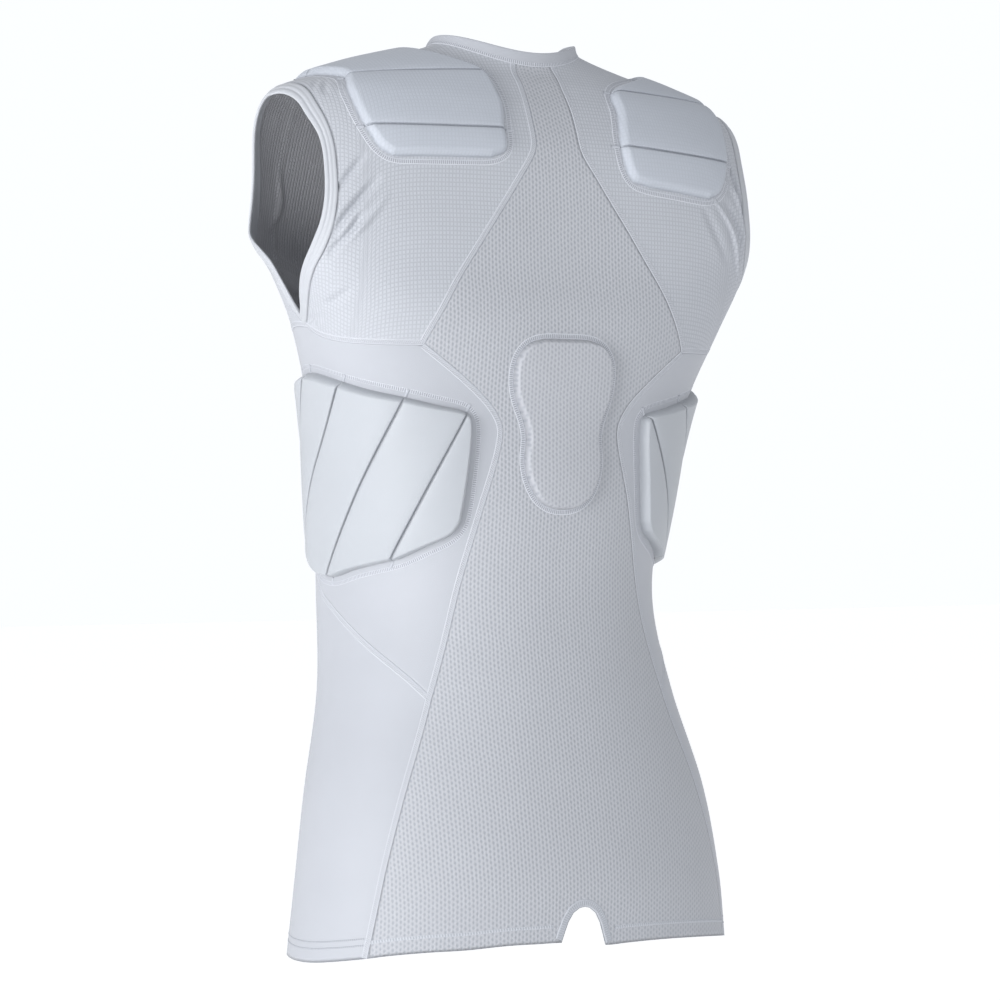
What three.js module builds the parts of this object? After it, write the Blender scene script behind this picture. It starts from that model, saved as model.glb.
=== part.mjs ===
import * as THREE from "three";

const { degToRad, lerp, smoothstep } = THREE.MathUtils;

// Padded compression shirt: sleeveless, filled out as if worn, with nobody in it.
// Millimetres, +Z up. The front faces -Y and the wearer's left is +X.
// The origin is midway between the shoulders, where the wearer carries the shirt.
// A place on the shirt is a turn and an up: turn is in degrees round the body from
// the centre back towards the wearer's left, and up counts the rings from the hem.

// Cloth, bindings and foam
const WALL = 1.5;
const SEAM_GAP = 0.3;
const BINDING = { proud: 0.5, behind: 1.9 };

// Foam pads: heights over the cloth, the gap under them, the spans across a row,
// and the steps from row to row
const RIB_FOAM = { rim: 6, full: 10.2, channel: 7, gap: 1, spans: 9, steps: 2 };
const SPINE_FOAM = { rim: 4.5, full: 8, channel: 8, gap: 0.6, spans: 7, steps: 1 };
const SHOULDER_FOAM = { rim: 4, full: 7.6, channel: 5.4, gap: 0.9, spans: 7, steps: 3 };
const PAD_SLOPE = 0.06;

// Millimetres of cloth in a degree of turn, near enough to space points along a seam
const MM_PER_DEGREE = 2.6;

// Rings of the body, from the hem to the top of the neck band.
// back, side and front are heights, and half is half the width.
const RINGS = [
  { up: 0, back: -686, side: -707, front: -680, half: 189 },
  { up: 60, back: -636, side: -650, front: -632, half: 182 },
  { up: 130, back: -572, side: -578, front: -572, half: 171 },
  { up: 210, back: -497, side: -497, front: -497, half: 150 },
  { up: 290, back: -420, side: -420, front: -420, half: 139 },
  { up: 370, back: -340, side: -340, front: -340, half: 147 },
  { up: 440, back: -270, side: -270, front: -272, half: 159 },
  { up: 505, back: -205, side: -205, front: -215, half: 184 },
  { up: 545, back: -166, side: -164, front: -190, half: 203 },
  { up: 590, back: -122, side: -120, front: -165, half: 215 },
  { up: 645, back: -72, side: -62, front: -130, half: 214 },
  { up: 682, back: -40, side: -27, front: -108, half: 203 },
  { up: 712, back: -18, side: -8, front: -92, half: 152 },
  { up: 745, back: -2, side: 17, front: -75, half: 68 },
  { up: 757, back: 10, side: 28, front: -66, half: 60 },
];
// Depths of the same rings: middle is the ring's own centre, forward or back,
// behind and ahead are measured from it, and the bows square the ring's corners.
const RING_DEPTHS = [
  { up: 0, middle: 17, behind: 113, ahead: 117, bowBehind: 2.2, bowAhead: 2.2 },
  { up: 60, middle: 17, behind: 114, ahead: 117, bowBehind: 2.2, bowAhead: 2.2 },
  { up: 130, middle: 10, behind: 110, ahead: 110, bowBehind: 2.2, bowAhead: 2.2 },
  { up: 210, middle: -11, behind: 116, ahead: 98, bowBehind: 2.2, bowAhead: 2.2 },
  { up: 290, middle: -40, behind: 134, ahead: 79, bowBehind: 2.4, bowAhead: 2.2 },
  { up: 370, middle: -25, behind: 123, ahead: 90, bowBehind: 2.4, bowAhead: 2.2 },
  { up: 440, middle: -3, behind: 101, ahead: 110, bowBehind: 2.5, bowAhead: 2.3 },
  { up: 505, middle: 17, behind: 86, ahead: 122, bowBehind: 2.7, bowAhead: 2.2 },
  { up: 545, middle: 18, behind: 80, ahead: 120, bowBehind: 3.2, bowAhead: 2.2 },
  { up: 590, middle: 12, behind: 84, ahead: 116, bowBehind: 3.6, bowAhead: 2.8 },
  { up: 645, middle: 5, behind: 87, ahead: 102, bowBehind: 3, bowAhead: 2.6 },
  { up: 682, middle: 2, behind: 78, ahead: 94, bowBehind: 2.4, bowAhead: 2.2 },
  { up: 712, middle: 0, behind: 66, ahead: 90, bowBehind: 2.2, bowAhead: 2 },
  { up: 745, middle: 2, behind: 52, ahead: 80, bowBehind: 2.1, bowAhead: 2 },
  { up: 757, middle: 4, behind: 50, ahead: 78, bowBehind: 2, bowAhead: 2 },
];
const NECK_SEAM = 745;
const NECK_TOP = 757;

// Places where seams meet on the wearer's left; the right side mirrors them
const HEM_CORNER = { turn: 57.5, up: 0 };
const HIP_CORNER = { turn: 43, up: 209 };
const BLADE_CORNER = { turn: 38.5, up: 484.5 };
const UNDERARM = { turn: 91, up: 500.5 };
const SHOULDER_POINT = { turn: 93, up: 688 };
const NECK_BACK_CORNER = { turn: 15, up: NECK_SEAM };
const NECK_SIDE_CORNER = { turn: 100, up: NECK_SEAM };
const FRONT_LOW_CORNER = { turn: 128, up: 347 };
const FRONT_TOP_CORNER = { turn: 140, up: 493 };

// Seams, each through a few places. Their segments are shared by the pieces on both sides.
const HIP_SEAM = [HEM_CORNER, { turn: 54.5, up: 70 }, { turn: 49.5, up: 130 }, HIP_CORNER];
const WAIST_SEAM = [
  HIP_CORNER,
  { turn: 37.8, up: 256 },
  { turn: 33, up: 303 },
  { turn: 26.3, up: 358 },
  { turn: 20.7, up: 401 },
  { turn: 19.4, up: 421 },
  { turn: 21.6, up: 436 },
  { turn: 26.8, up: 453 },
  BLADE_CORNER,
];
const SPINE_SEAM = [
  BLADE_CORNER,
  { turn: 28.5, up: 522 },
  { turn: 20.7, up: 556 },
  { turn: 14.2, up: 590 },
  { turn: 8.8, up: 623 },
  { turn: 5.8, up: 644 },
  { turn: 5.3, up: 662 },
  { turn: 6, up: 700 },
  { turn: 8.2, up: 722 },
  NECK_BACK_CORNER,
];
const NECK_BACK = [NECK_BACK_CORNER, { turn: 57, up: NECK_SEAM }, NECK_SIDE_CORNER];
const SHOULDER_SEAM = [NECK_SIDE_CORNER, { turn: 97, up: 714 }, SHOULDER_POINT];
const BACK_YOKE_SEAM = [
  BLADE_CORNER,
  { turn: 50, up: 485 },
  { turn: 64, up: 487 },
  { turn: 78, up: 492 },
  UNDERARM,
];
const FRONT_YOKE_SEAM = [
  UNDERARM,
  { turn: 100, up: 502 },
  { turn: 113, up: 501 },
  FRONT_TOP_CORNER,
];
const DIAGONAL_SEAM = [
  HIP_CORNER,
  { turn: 52, up: 228 },
  { turn: 67, up: 253 },
  { turn: 83, up: 278 },
  { turn: 95, up: 295 },
  { turn: 110, up: 319 },
  FRONT_LOW_CORNER,
];
const FRONT_SEAM = [
  FRONT_LOW_CORNER,
  { turn: 134, up: 385 },
  { turn: 138.5, up: 440 },
  FRONT_TOP_CORNER,
];

// Armhole binding, a row for each section: its outer seam, and the open edge inside it.
// Both halves run from the underarm to the shoulder point.
const ARMHOLE_BACK = [
  { seam: UNDERARM, edge: { turn: 93, up: 509 } },
  { seam: { turn: 83, up: 513 }, edge: { turn: 87, up: 521 } },
  { seam: { turn: 74, up: 526 }, edge: { turn: 79, up: 532.5 } },
  { seam: { turn: 64, up: 540.5 }, edge: { turn: 69.5, up: 545 } },
  { seam: { turn: 55.5, up: 556 }, edge: { turn: 60.5, up: 559.5 } },
  { seam: { turn: 50, up: 575 }, edge: { turn: 54, up: 577 } },
  { seam: { turn: 47.8, up: 597 }, edge: { turn: 51.4, up: 597 } },
  { seam: { turn: 48.6, up: 624 }, edge: { turn: 52, up: 622 } },
  { seam: { turn: 51.1, up: 645.4 }, edge: { turn: 54.5, up: 641 } },
  { seam: { turn: 55.5, up: 664 }, edge: { turn: 59.5, up: 656.5 } },
  { seam: { turn: 63.5, up: 680 }, edge: { turn: 66, up: 670 } },
  { seam: { turn: 75, up: 687.5 }, edge: { turn: 76.5, up: 676.8 } },
  { seam: SHOULDER_POINT, edge: { turn: 93, up: 677.3 } },
];
const ARMHOLE_FRONT = [
  { seam: UNDERARM, edge: { turn: 93, up: 509 } },
  { seam: { turn: 99.5, up: 517 }, edge: { turn: 95.4, up: 519.5 } },
  { seam: { turn: 102.3, up: 533 }, edge: { turn: 98, up: 536 } },
  { seam: { turn: 106, up: 546 }, edge: { turn: 101.5, up: 550 } },
  { seam: { turn: 113, up: 558 }, edge: { turn: 109, up: 565 } },
  { seam: { turn: 122, up: 574 }, edge: { turn: 117.5, up: 581 } },
  { seam: { turn: 127.5, up: 594 }, edge: { turn: 122.5, up: 597 } },
  { seam: { turn: 129, up: 615 }, edge: { turn: 124, up: 615 } },
  { seam: { turn: 127, up: 637 }, edge: { turn: 122.3, up: 634 } },
  { seam: { turn: 121, up: 659 }, edge: { turn: 117, up: 652 } },
  { seam: { turn: 111, up: 676 }, edge: { turn: 108.5, up: 667 } },
  { seam: { turn: 101, up: 685.5 }, edge: { turn: 100, up: 675.5 } },
  { seam: SHOULDER_POINT, edge: { turn: 93, up: 677.3 } },
];

// The arch cut in the hem at the centre back, from its foot to its crown
const HEM_NOTCH = [
  { turn: 6.1, up: 0 },
  { turn: 5.2, up: 11 },
  { turn: 4.4, up: 20 },
  { turn: 3.1, up: 28.5 },
  { turn: 1.4, up: 33 },
  { turn: 0, up: 34 },
];
const NOTCH_FADES_BY = 90;
const COLUMNS_EVEN_BY = 150;

// Segments along the seams
const SEGMENTS = {
  hip: 8,
  waist: 12,
  spine: 12,
  neckBack: 9,
  shoulder: 8,
  yoke: 8,
  armholeFront: 12,
  front: 20,
  hemSide: 5,
};

// Pads. A row runs across the pad from one edge to the other, and a channel row is a
// groove. The first and last rows round the pad's ends off. thin gives what is left of
// the foam's height at the two ends of a row, where that isn't all of it.
const RIB_PAD = [
  { from: { turn: 33, up: 349 }, to: { turn: 36.5, up: 337 } },
  { from: { turn: 30.2, up: 384 }, to: { turn: 43.5, up: 329 } },
  { from: { turn: 28.3, up: 420 }, to: { turn: 50.5, up: 321 } },
  { from: { turn: 29.6, up: 432.5 }, to: { turn: 54.5, up: 318 }, channel: true },
  { from: { turn: 38.3, up: 438.5 }, to: { turn: 69, up: 311 } },
  { from: { turn: 47, up: 444 }, to: { turn: 83, up: 304 }, channel: true },
  { from: { turn: 59, up: 450 }, to: { turn: 97, up: 311 } },
  { from: { turn: 71, up: 456.5 }, to: { turn: 109, up: 326 }, channel: true },
  { from: { turn: 84, up: 462 }, to: { turn: 116.5, up: 348 } },
  { from: { turn: 97, up: 466 }, to: { turn: 121, up: 376 }, channel: true },
  { from: { turn: 110, up: 467 }, to: { turn: 123.5, up: 410 } },
  { from: { turn: 119, up: 465 }, to: { turn: 124.5, up: 442 } },
];
const SPINE_PAD = [
  { half: 5, up: 359.5 },
  { half: 9.2, up: 366.5 },
  { half: 11.9, up: 380 },
  { half: 12.8, up: 396 },
  { half: 11.9, up: 412 },
  { half: 12.5, up: 425 },
  { half: 14.8, up: 443 },
  { half: 15.2, up: 460 },
  { half: 14, up: 475 },
  { half: 10.8, up: 486 },
  { half: 6.5, up: 490 },
];
// The shoulder pads lie a little unevenly, so each side has its own rows,
// from the bottom edge on the back, over the shoulder, to the front edge.
const SHOULDER_PAD_LEFT = [
  { from: { turn: 16, up: 634.5 }, to: { turn: 36.5, up: 629 } },
  { from: { turn: 12.6, up: 642 }, to: { turn: 39.5, up: 636 } },
  { from: { turn: 12.3, up: 660.5 }, to: { turn: 43, up: 652 }, channel: true },
  { from: { turn: 12.8, up: 691 }, to: { turn: 48.5, up: 676 } },
  { from: { turn: 21.5, up: 723 }, to: { turn: 59, up: 697 }, channel: true },
  { from: { turn: 42, up: 734 }, to: { turn: 73, up: 701 }, thin: [0.6, 1] },
  { from: { turn: 88, up: 735 }, to: { turn: 91, up: 701 }, thin: [0.2, 1], channel: true },
  { from: { turn: 112, up: 731 }, to: { turn: 108, up: 696 }, thin: [0.4, 1] },
  { from: { turn: 121, up: 727 }, to: { turn: 117, up: 693 } },
];
const SHOULDER_PAD_RIGHT = [
  { from: { turn: 21, up: 617 }, to: { turn: 35.5, up: 609.5 } },
  { from: { turn: 16.8, up: 624 }, to: { turn: 39.5, up: 617 } },
  { from: { turn: 15.4, up: 652 }, to: { turn: 44, up: 640 }, channel: true },
  { from: { turn: 17.5, up: 682 }, to: { turn: 49.5, up: 668 } },
  { from: { turn: 23.5, up: 708 }, to: { turn: 60, up: 691 }, channel: true },
  { from: { turn: 42, up: 721 }, to: { turn: 74, up: 697 }, thin: [0.7, 0.8] },
  { from: { turn: 88, up: 725 }, to: { turn: 90, up: 697 }, thin: [0.6, 0.7], channel: true },
  { from: { turn: 110, up: 721 }, to: { turn: 105, up: 693 }, thin: [0.6, 0.7] },
  { from: { turn: 119, up: 717 }, to: { turn: 114, up: 690 } },
];
// A groove's points, before and after its row
const GROOVE_STEPS = [-0.16, 0, 0.16];

// Colours of the cloths
const FINISH = {
  mesh: { color: 0xc9ccd3, roughness: 0.8 },
  grid: { color: 0xcfd2d9, roughness: 0.75 },
  plain: { color: 0xdcdfe6, roughness: 0.65 },
  trim: { color: 0xd3d6dd, roughness: 0.7 },
  pad: { color: 0xdde1e7, roughness: 0.6 },
};

// Smooth value of one column of a table, read at a place along another column
function readSmooth(rows, along, column, at) {
  const last = rows.length - 1;
  const slopeAt = (k) => {
    const before = rows[Math.max(k - 1, 0)];
    const after = rows[Math.min(k + 1, last)];
    return (after[column] - before[column]) / (after[along] - before[along]);
  };
  let k = 0;
  while (k < last - 1 && at > rows[k + 1][along]) k += 1;
  const span = rows[k + 1][along] - rows[k][along];
  const t = (at - rows[k][along]) / span;
  const rise = t * t * (3 - 2 * t);
  const leave = t * (1 - t) * (1 - t) * span * slopeAt(k);
  const arrive = t * t * (t - 1) * span * slopeAt(k + 1);
  return rows[k][column] * (1 - rise) + rows[k + 1][column] * rise + leave + arrive;
}

// The point of the shirt's outer face at a place
function bodyPoint({ turn, up }) {
  const ring = (column) => readSmooth(RINGS, "up", column, up);
  const depths = (column) => readSmooth(RING_DEPTHS, "up", column, up);
  const sine = Math.sin(degToRad(turn));
  const cosine = Math.cos(degToRad(turn));
  const isBack = cosine >= 0;
  const bow = depths(isBack ? "bowBehind" : "bowAhead");
  const reach = (Math.abs(sine) ** bow + Math.abs(cosine) ** bow) ** (-1 / bow);
  const depth = depths(isBack ? "behind" : "ahead");
  const end = ring(isBack ? "back" : "front");
  const side = ring("side");
  return new THREE.Vector3(
    ring("half") * sine * reach,
    depths("middle") + depth * cosine * reach,
    side + (end - side) * cosine * cosine
  );
}

// The direction straight out of the cloth at a place
function outward({ turn, up }) {
  const step = 0.2;
  const higher = Math.min(up + step, NECK_TOP);
  const lower = Math.max(up - step, 0);
  const round = bodyPoint({ turn: turn + step, up }).sub(bodyPoint({ turn: turn - step, up }));
  const rise = bodyPoint({ turn, up: higher }).sub(bodyPoint({ turn, up: lower }));
  return rise.cross(round).normalize();
}

function mix(a, b, t) {
  return { turn: a.turn + (b.turn - a.turn) * t, up: a.up + (b.up - a.up) * t };
}

function mirrored(place) {
  return { turn: -place.turn, up: place.up };
}

// The same mirror image, counted on past the centre front
function mirroredRound(place) {
  return { turn: 360 - place.turn, up: place.up };
}

// Evenly spaced places along a smooth line through the given ones
function placesAlong(points, segments) {
  const lengths = [0];
  points.slice(1).forEach((point, k) => {
    const round = (point.turn - points[k].turn) * MM_PER_DEGREE;
    lengths.push(lengths[k] + Math.hypot(round, point.up - points[k].up));
  });
  const rows = points.map((point, k) => ({ ...point, along: lengths[k] }));
  return Array.from({ length: segments + 1 }, (_, k) => {
    const at = (lengths.at(-1) * k) / segments;
    return { turn: readSmooth(rows, "along", "turn", at), up: readSmooth(rows, "along", "up", at) };
  });
}

// Lines of places end to end, without doubling the places where they meet
function joined(...lines) {
  return lines.flatMap((line, k) => (k === 0 ? line : line.slice(1)));
}

// A grid of places that fills the space between four lines of places
function fillBetween(bottom, top, left, right) {
  const columns = bottom.length - 1;
  const rows = left.length - 1;
  return left.map((_, j) =>
    bottom.map((__, i) => {
      const s = i / columns;
      const t = j / rows;
      const upright = mix(bottom[i], top[i], t);
      const level = mix(left[j], right[j], s);
      const corners = mix(mix(bottom[0], bottom[columns], s), mix(top[0], top[columns], s), t);
      return {
        turn: upright.turn + level.turn - corners.turn,
        up: upright.up + level.up - corners.up,
      };
    })
  );
}

// Edge points of a cloth grid move in by half a seam gap, so that pieces stay apart
function drawEdgesIn(points, normals, isLoop) {
  const rows = points.length;
  const columns = points[0].length;
  const moved = points.map((row) => row.map((point) => point.clone()));
  const drawIn = (j, i, along, inner) => {
    const inward = new THREE.Vector3().crossVectors(normals[j][i], along).normalize();
    if (inward.dot(inner) < 0) inward.negate();
    moved[j][i].addScaledVector(inward, SEAM_GAP / 2);
  };
  const between = (a, b) => new THREE.Vector3().subVectors(b, a);
  for (let i = 0; i < columns; i += 1) {
    const before = isLoop ? (i + columns - 1) % columns : Math.max(i - 1, 0);
    const after = isLoop ? (i + 1) % columns : Math.min(i + 1, columns - 1);
    for (const [j, next] of [[0, 1], [rows - 1, rows - 2]]) {
      const along = between(points[j][before], points[j][after]);
      drawIn(j, i, along, between(points[j][i], points[next][i]));
    }
  }
  if (isLoop) return moved;
  for (let j = 0; j < rows; j += 1) {
    for (const [i, next] of [[0, 1], [columns - 1, columns - 2]]) {
      const along = between(points[Math.max(j - 1, 0)][i], points[Math.min(j + 1, rows - 1)][i]);
      drawIn(j, i, along, between(points[j][i], points[j][next]));
    }
  }
  return moved;
}

// One closed body from an outer and an inner grid of points
function closedWall(outer, inner, isLoop) {
  const rows = outer.length;
  const columns = outer[0].length;
  const positions = [outer, inner].flat(2).flatMap((point) => point.toArray());
  const at = (layer, j, i) => layer * rows * columns + j * columns + (i % columns);
  const faces = [];
  const quad = (a, b, c, d) => faces.push(a, b, c, a, c, d);
  const top = rows - 1;
  const side = columns - 1;
  const spans = isLoop ? columns : side;
  for (let j = 0; j < top; j += 1) {
    for (let i = 0; i < spans; i += 1) {
      quad(at(0, j, i), at(0, j, i + 1), at(0, j + 1, i + 1), at(0, j + 1, i));
      quad(at(1, j, i), at(1, j + 1, i), at(1, j + 1, i + 1), at(1, j, i + 1));
    }
  }
  for (let i = 0; i < spans; i += 1) {
    quad(at(0, 0, i), at(1, 0, i), at(1, 0, i + 1), at(0, 0, i + 1));
    quad(at(0, top, i), at(0, top, i + 1), at(1, top, i + 1), at(1, top, i));
  }
  for (let j = 0; j < top && !isLoop; j += 1) {
    quad(at(0, j, 0), at(0, j + 1, 0), at(1, j + 1, 0), at(1, j, 0));
    quad(at(0, j, side), at(1, j, side), at(1, j + 1, side), at(0, j + 1, side));
  }
  const geometry = new THREE.BufferGeometry();
  geometry.setAttribute("position", new THREE.Float32BufferAttribute(positions, 3));
  geometry.setIndex(signedVolume(positions, faces) > 0 ? faces : faces.reverse());
  return geometry;
}

function signedVolume(positions, faces) {
  const corner = (k) => new THREE.Vector3().fromArray(positions, faces[k] * 3);
  let six = 0;
  for (let k = 0; k < faces.length; k += 3) {
    six += corner(k).dot(corner(k + 1).cross(corner(k + 2)));
  }
  return six / 6;
}

// Cloth over a grid of places
function clothGeometry(places, { proud = 0, behind = WALL, isLoop = false } = {}) {
  const normals = places.map((row) => row.map(outward));
  const middle = drawEdgesIn(places.map((row) => row.map(bodyPoint)), normals, isLoop);
  const lift = (point, normal, by) => point.clone().addScaledVector(normal, by);
  const liftRow = (row, j, by) => row.map((point, i) => lift(point, normals[j][i], by));
  const lifted = (by) => middle.map((row, j) => liftRow(row, j, by));
  return closedWall(lifted(proud), lifted(-behind), isLoop);
}

// Shares of the way across a pad, with the sloping edge first and last
function padShares(spans) {
  const level = spans - 2;
  const middle = Array.from({ length: level + 1 }, (_, n) => lerp(PAD_SLOPE, 1 - PAD_SLOPE, n / level));
  return [0, ...middle, 1];
}

// A foam pad on the cloth: rows across it, with sunk grooves and a sloping edge
function padGeometry(table, foam, mirror) {
  const last = table.length - 1;
  const isGroove = (k) => table[k]?.channel === true;
  const stations = table.flatMap((_, k) => {
    const between = Array.from({ length: foam.steps - 1 }, (__, n) => k + (n + 1) / foam.steps);
    const here = isGroove(k) ? GROOVE_STEPS.map((step) => k + step) : [k];
    return k === last ? here : [...here, ...between];
  });
  const ends = ["from", "to"].map((end) => table.map((row, k) => ({ ...row[end], k })));
  const placeAt = (k, s) => {
    const [from, to] = ends.map((rows) => {
      return { turn: readSmooth(rows, "k", "turn", k), up: readSmooth(rows, "k", "up", k) };
    });
    const place = mix(from, to, s);
    return mirror ? mirrored(place) : place;
  };
  const heightAt = (k, s) => {
    const low = Math.min(Math.floor(k), last - 1);
    const share = (row) => lerp(...(row.thin ?? [1, 1]), s);
    const left = lerp(share(table[low]), share(table[low + 1]), k - low);
    const isRim = k === 0 || k === last || s === 0 || s === 1;
    const height = isRim ? foam.rim : isGroove(k) ? foam.channel : foam.full;
    return height * left;
  };
  const lifted = (heightOf) =>
    stations.map((k) =>
      padShares(foam.spans).map((s) => {
        const place = placeAt(k, s);
        return bodyPoint(place).addScaledVector(outward(place), foam.gap + heightOf(k, s));
      })
    );
  return closedWall(lifted(heightAt), lifted(() => 0), false);
}

const seams = {
  hip: placesAlong(HIP_SEAM, SEGMENTS.hip),
  waist: placesAlong(WAIST_SEAM, SEGMENTS.waist),
  spine: placesAlong(SPINE_SEAM, SEGMENTS.spine),
  neckBack: placesAlong(NECK_BACK, SEGMENTS.neckBack),
  shoulder: placesAlong(SHOULDER_SEAM, SEGMENTS.shoulder),
  backYoke: placesAlong(BACK_YOKE_SEAM, SEGMENTS.yoke),
  frontYoke: placesAlong(FRONT_YOKE_SEAM, SEGMENTS.yoke),
  diagonal: placesAlong(DIAGONAL_SEAM, 2 * SEGMENTS.yoke),
  front: placesAlong(FRONT_SEAM, SEGMENTS.waist),
};

// Places along the seam or the open edge of the armhole, from the underarm up
function armholeLine(table, line, segments) {
  return placesAlong(table.map((row) => row[line]), segments);
}
const ARMHOLE_BACK_SEGMENTS = SEGMENTS.spine + SEGMENTS.neckBack;
const armholeBack = armholeLine(ARMHOLE_BACK, "seam", ARMHOLE_BACK_SEGMENTS);
const armholeFront = armholeLine(ARMHOLE_FRONT, "seam", SEGMENTS.armholeFront);

function levelLine(from, to, segments) {
  return Array.from({ length: segments + 1 }, (_, k) => mix(from, to, k / segments));
}

// Centre back: honeycomb mesh from the hem, with its arch, to the neck
function backMeshPlaces() {
  const side = joined(seams.hip, seams.waist, seams.spine);
  const outerColumns = levelLine(HEM_CORNER, HEM_NOTCH[0], SEGMENTS.hemSide);
  const halfHem = joined(outerColumns, HEM_NOTCH);
  const hem = joined(halfHem.map(mirrored), [...halfHem].reverse());
  const columns = hem.length - 1;
  return side.map(({ turn, up }) => {
    const evenness = smoothstep(up, 0, COLUMNS_EVEN_BY);
    const notchLeft = Math.max(1 - up / NOTCH_FADES_BY, 0);
    return hem.map((place, i) => ({
      turn: turn * lerp(place.turn / HEM_CORNER.turn, (2 * i) / columns - 1, evenness),
      up: up + place.up * notchLeft,
    }));
  });
}

// Back yoke: from the mesh to the armhole, and over the shoulder
function backYokePlaces() {
  const inner = joined(seams.spine, seams.neckBack);
  return fillBetween(seams.backYoke, seams.shoulder, inner, armholeBack);
}

// Side panel: round the ribs, from the mesh to the front
function sidePanelPlaces() {
  const top = joined(seams.backYoke, seams.frontYoke);
  return fillBetween(seams.diagonal, top, seams.waist, seams.front);
}

// Front body: the whole front below the chest, wrapping to the back at the hips
function frontBodyPlaces() {
  const side = joined(seams.hip, seams.diagonal, seams.front);
  return side.map((place) => levelLine(place, mirroredRound(place), SEGMENTS.front));
}

// Front yoke: from armhole to armhole, round the neck
function frontYokePlaces() {
  const chest = levelLine(FRONT_TOP_CORNER, mirroredRound(FRONT_TOP_CORNER), SEGMENTS.front);
  const neck = levelLine(NECK_SIDE_CORNER, mirroredRound(NECK_SIDE_CORNER), SEGMENTS.front);
  const otherSide = (line) => [...line].reverse().map(mirroredRound);
  const shoulder = [...seams.shoulder].reverse();
  return fillBetween(
    joined(seams.frontYoke, chest, otherSide(seams.frontYoke)),
    joined(shoulder, neck, otherSide(shoulder)),
    armholeFront,
    armholeFront.map(mirroredRound)
  );
}

// Armhole binding: a loop of two sections side by side, seam to open edge
function armholeBindingPlaces() {
  const loop = (line) => {
    const back = armholeLine(ARMHOLE_BACK, line, ARMHOLE_BACK_SEGMENTS);
    const front = armholeLine(ARMHOLE_FRONT, line, SEGMENTS.armholeFront);
    return [...back, ...front.slice(1, -1).reverse()];
  };
  const seam = loop("seam");
  const edge = loop("edge");
  return [0, 0.5, 1].map((t) => seam.map((place, i) => mix(place, edge[i], t)));
}

// Neck band: a closed loop above the neck seam
function neckBandPlaces() {
  const backHalf = levelLine(mirrored(NECK_BACK_CORNER), NECK_BACK_CORNER, SEGMENTS.yoke);
  const front = levelLine(NECK_SIDE_CORNER, mirroredRound(NECK_SIDE_CORNER), SEGMENTS.front);
  const otherSide = [...seams.neckBack].reverse().map(mirroredRound);
  const loop = joined(backHalf, seams.neckBack, front, otherSide).slice(0, -1);
  const heights = [NECK_SEAM, (NECK_SEAM + NECK_TOP) / 2, NECK_TOP];
  return heights.map((up) => loop.map(({ turn }) => ({ turn, up })));
}

const spinePadTable = SPINE_PAD.map(({ half, up }) => {
  return { from: { turn: -half, up }, to: { turn: half, up } };
});

const shirt = new THREE.Group();

function addPiece(name, geometry, finish) {
  const look = { ...FINISH[finish], metalness: 0, flatShading: true };
  const material = new THREE.MeshStandardMaterial(look);
  const piece = new THREE.Mesh(geometry, material);
  piece.name = name;
  shirt.add(piece);
}

function addCloth(name, places, finish, options) {
  addPiece(name, clothGeometry(places, options), finish);
}

function addClothPair(name, places, finish, options) {
  addCloth(`${name}_left`, places, finish, options);
  addCloth(`${name}_right`, places.map((row) => row.map(mirrored)), finish, options);
}

addCloth("back_mesh_panel", backMeshPlaces(), "mesh");
addClothPair("back_yoke", backYokePlaces(), "grid");
addCloth("front_yoke", frontYokePlaces(), "grid");
addClothPair("side_panel", sidePanelPlaces(), "plain");
addCloth("front_body", frontBodyPlaces(), "plain");
addClothPair("armhole_binding", armholeBindingPlaces(), "trim", { ...BINDING, isLoop: true });
addCloth("neck_band", neckBandPlaces(), "trim", { ...BINDING, isLoop: true });
addPiece("rib_pad_left", padGeometry(RIB_PAD, RIB_FOAM, false), "pad");
addPiece("rib_pad_right", padGeometry(RIB_PAD, RIB_FOAM, true), "pad");
addPiece("spine_pad", padGeometry(spinePadTable, SPINE_FOAM, false), "mesh");
addPiece("shoulder_pad_left", padGeometry(SHOULDER_PAD_LEFT, SHOULDER_FOAM, false), "grid");
addPiece("shoulder_pad_right", padGeometry(SHOULDER_PAD_RIGHT, SHOULDER_FOAM, true), "grid");

export default shirt;
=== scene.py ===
"""Looks of the padded sleeveless shirt: knit cloth, sewn foam pads, bindings and stitching."""

import math

import bmesh
import bpy
import numpy as np
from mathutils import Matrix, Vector


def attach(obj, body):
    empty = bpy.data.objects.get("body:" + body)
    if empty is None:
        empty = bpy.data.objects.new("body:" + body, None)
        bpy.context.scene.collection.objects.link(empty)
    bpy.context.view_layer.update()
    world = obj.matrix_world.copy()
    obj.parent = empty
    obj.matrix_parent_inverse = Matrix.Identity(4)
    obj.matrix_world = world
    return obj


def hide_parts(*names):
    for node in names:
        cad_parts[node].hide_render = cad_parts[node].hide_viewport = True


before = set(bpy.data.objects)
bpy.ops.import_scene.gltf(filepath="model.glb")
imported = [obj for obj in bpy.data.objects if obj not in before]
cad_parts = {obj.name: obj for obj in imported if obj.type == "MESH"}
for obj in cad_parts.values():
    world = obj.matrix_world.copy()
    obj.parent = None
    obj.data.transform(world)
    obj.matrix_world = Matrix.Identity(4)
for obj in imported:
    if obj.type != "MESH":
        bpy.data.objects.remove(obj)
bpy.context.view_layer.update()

# The tables below are in millimetres and degrees, and the finished pieces in metres.
MM = 0.001

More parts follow.
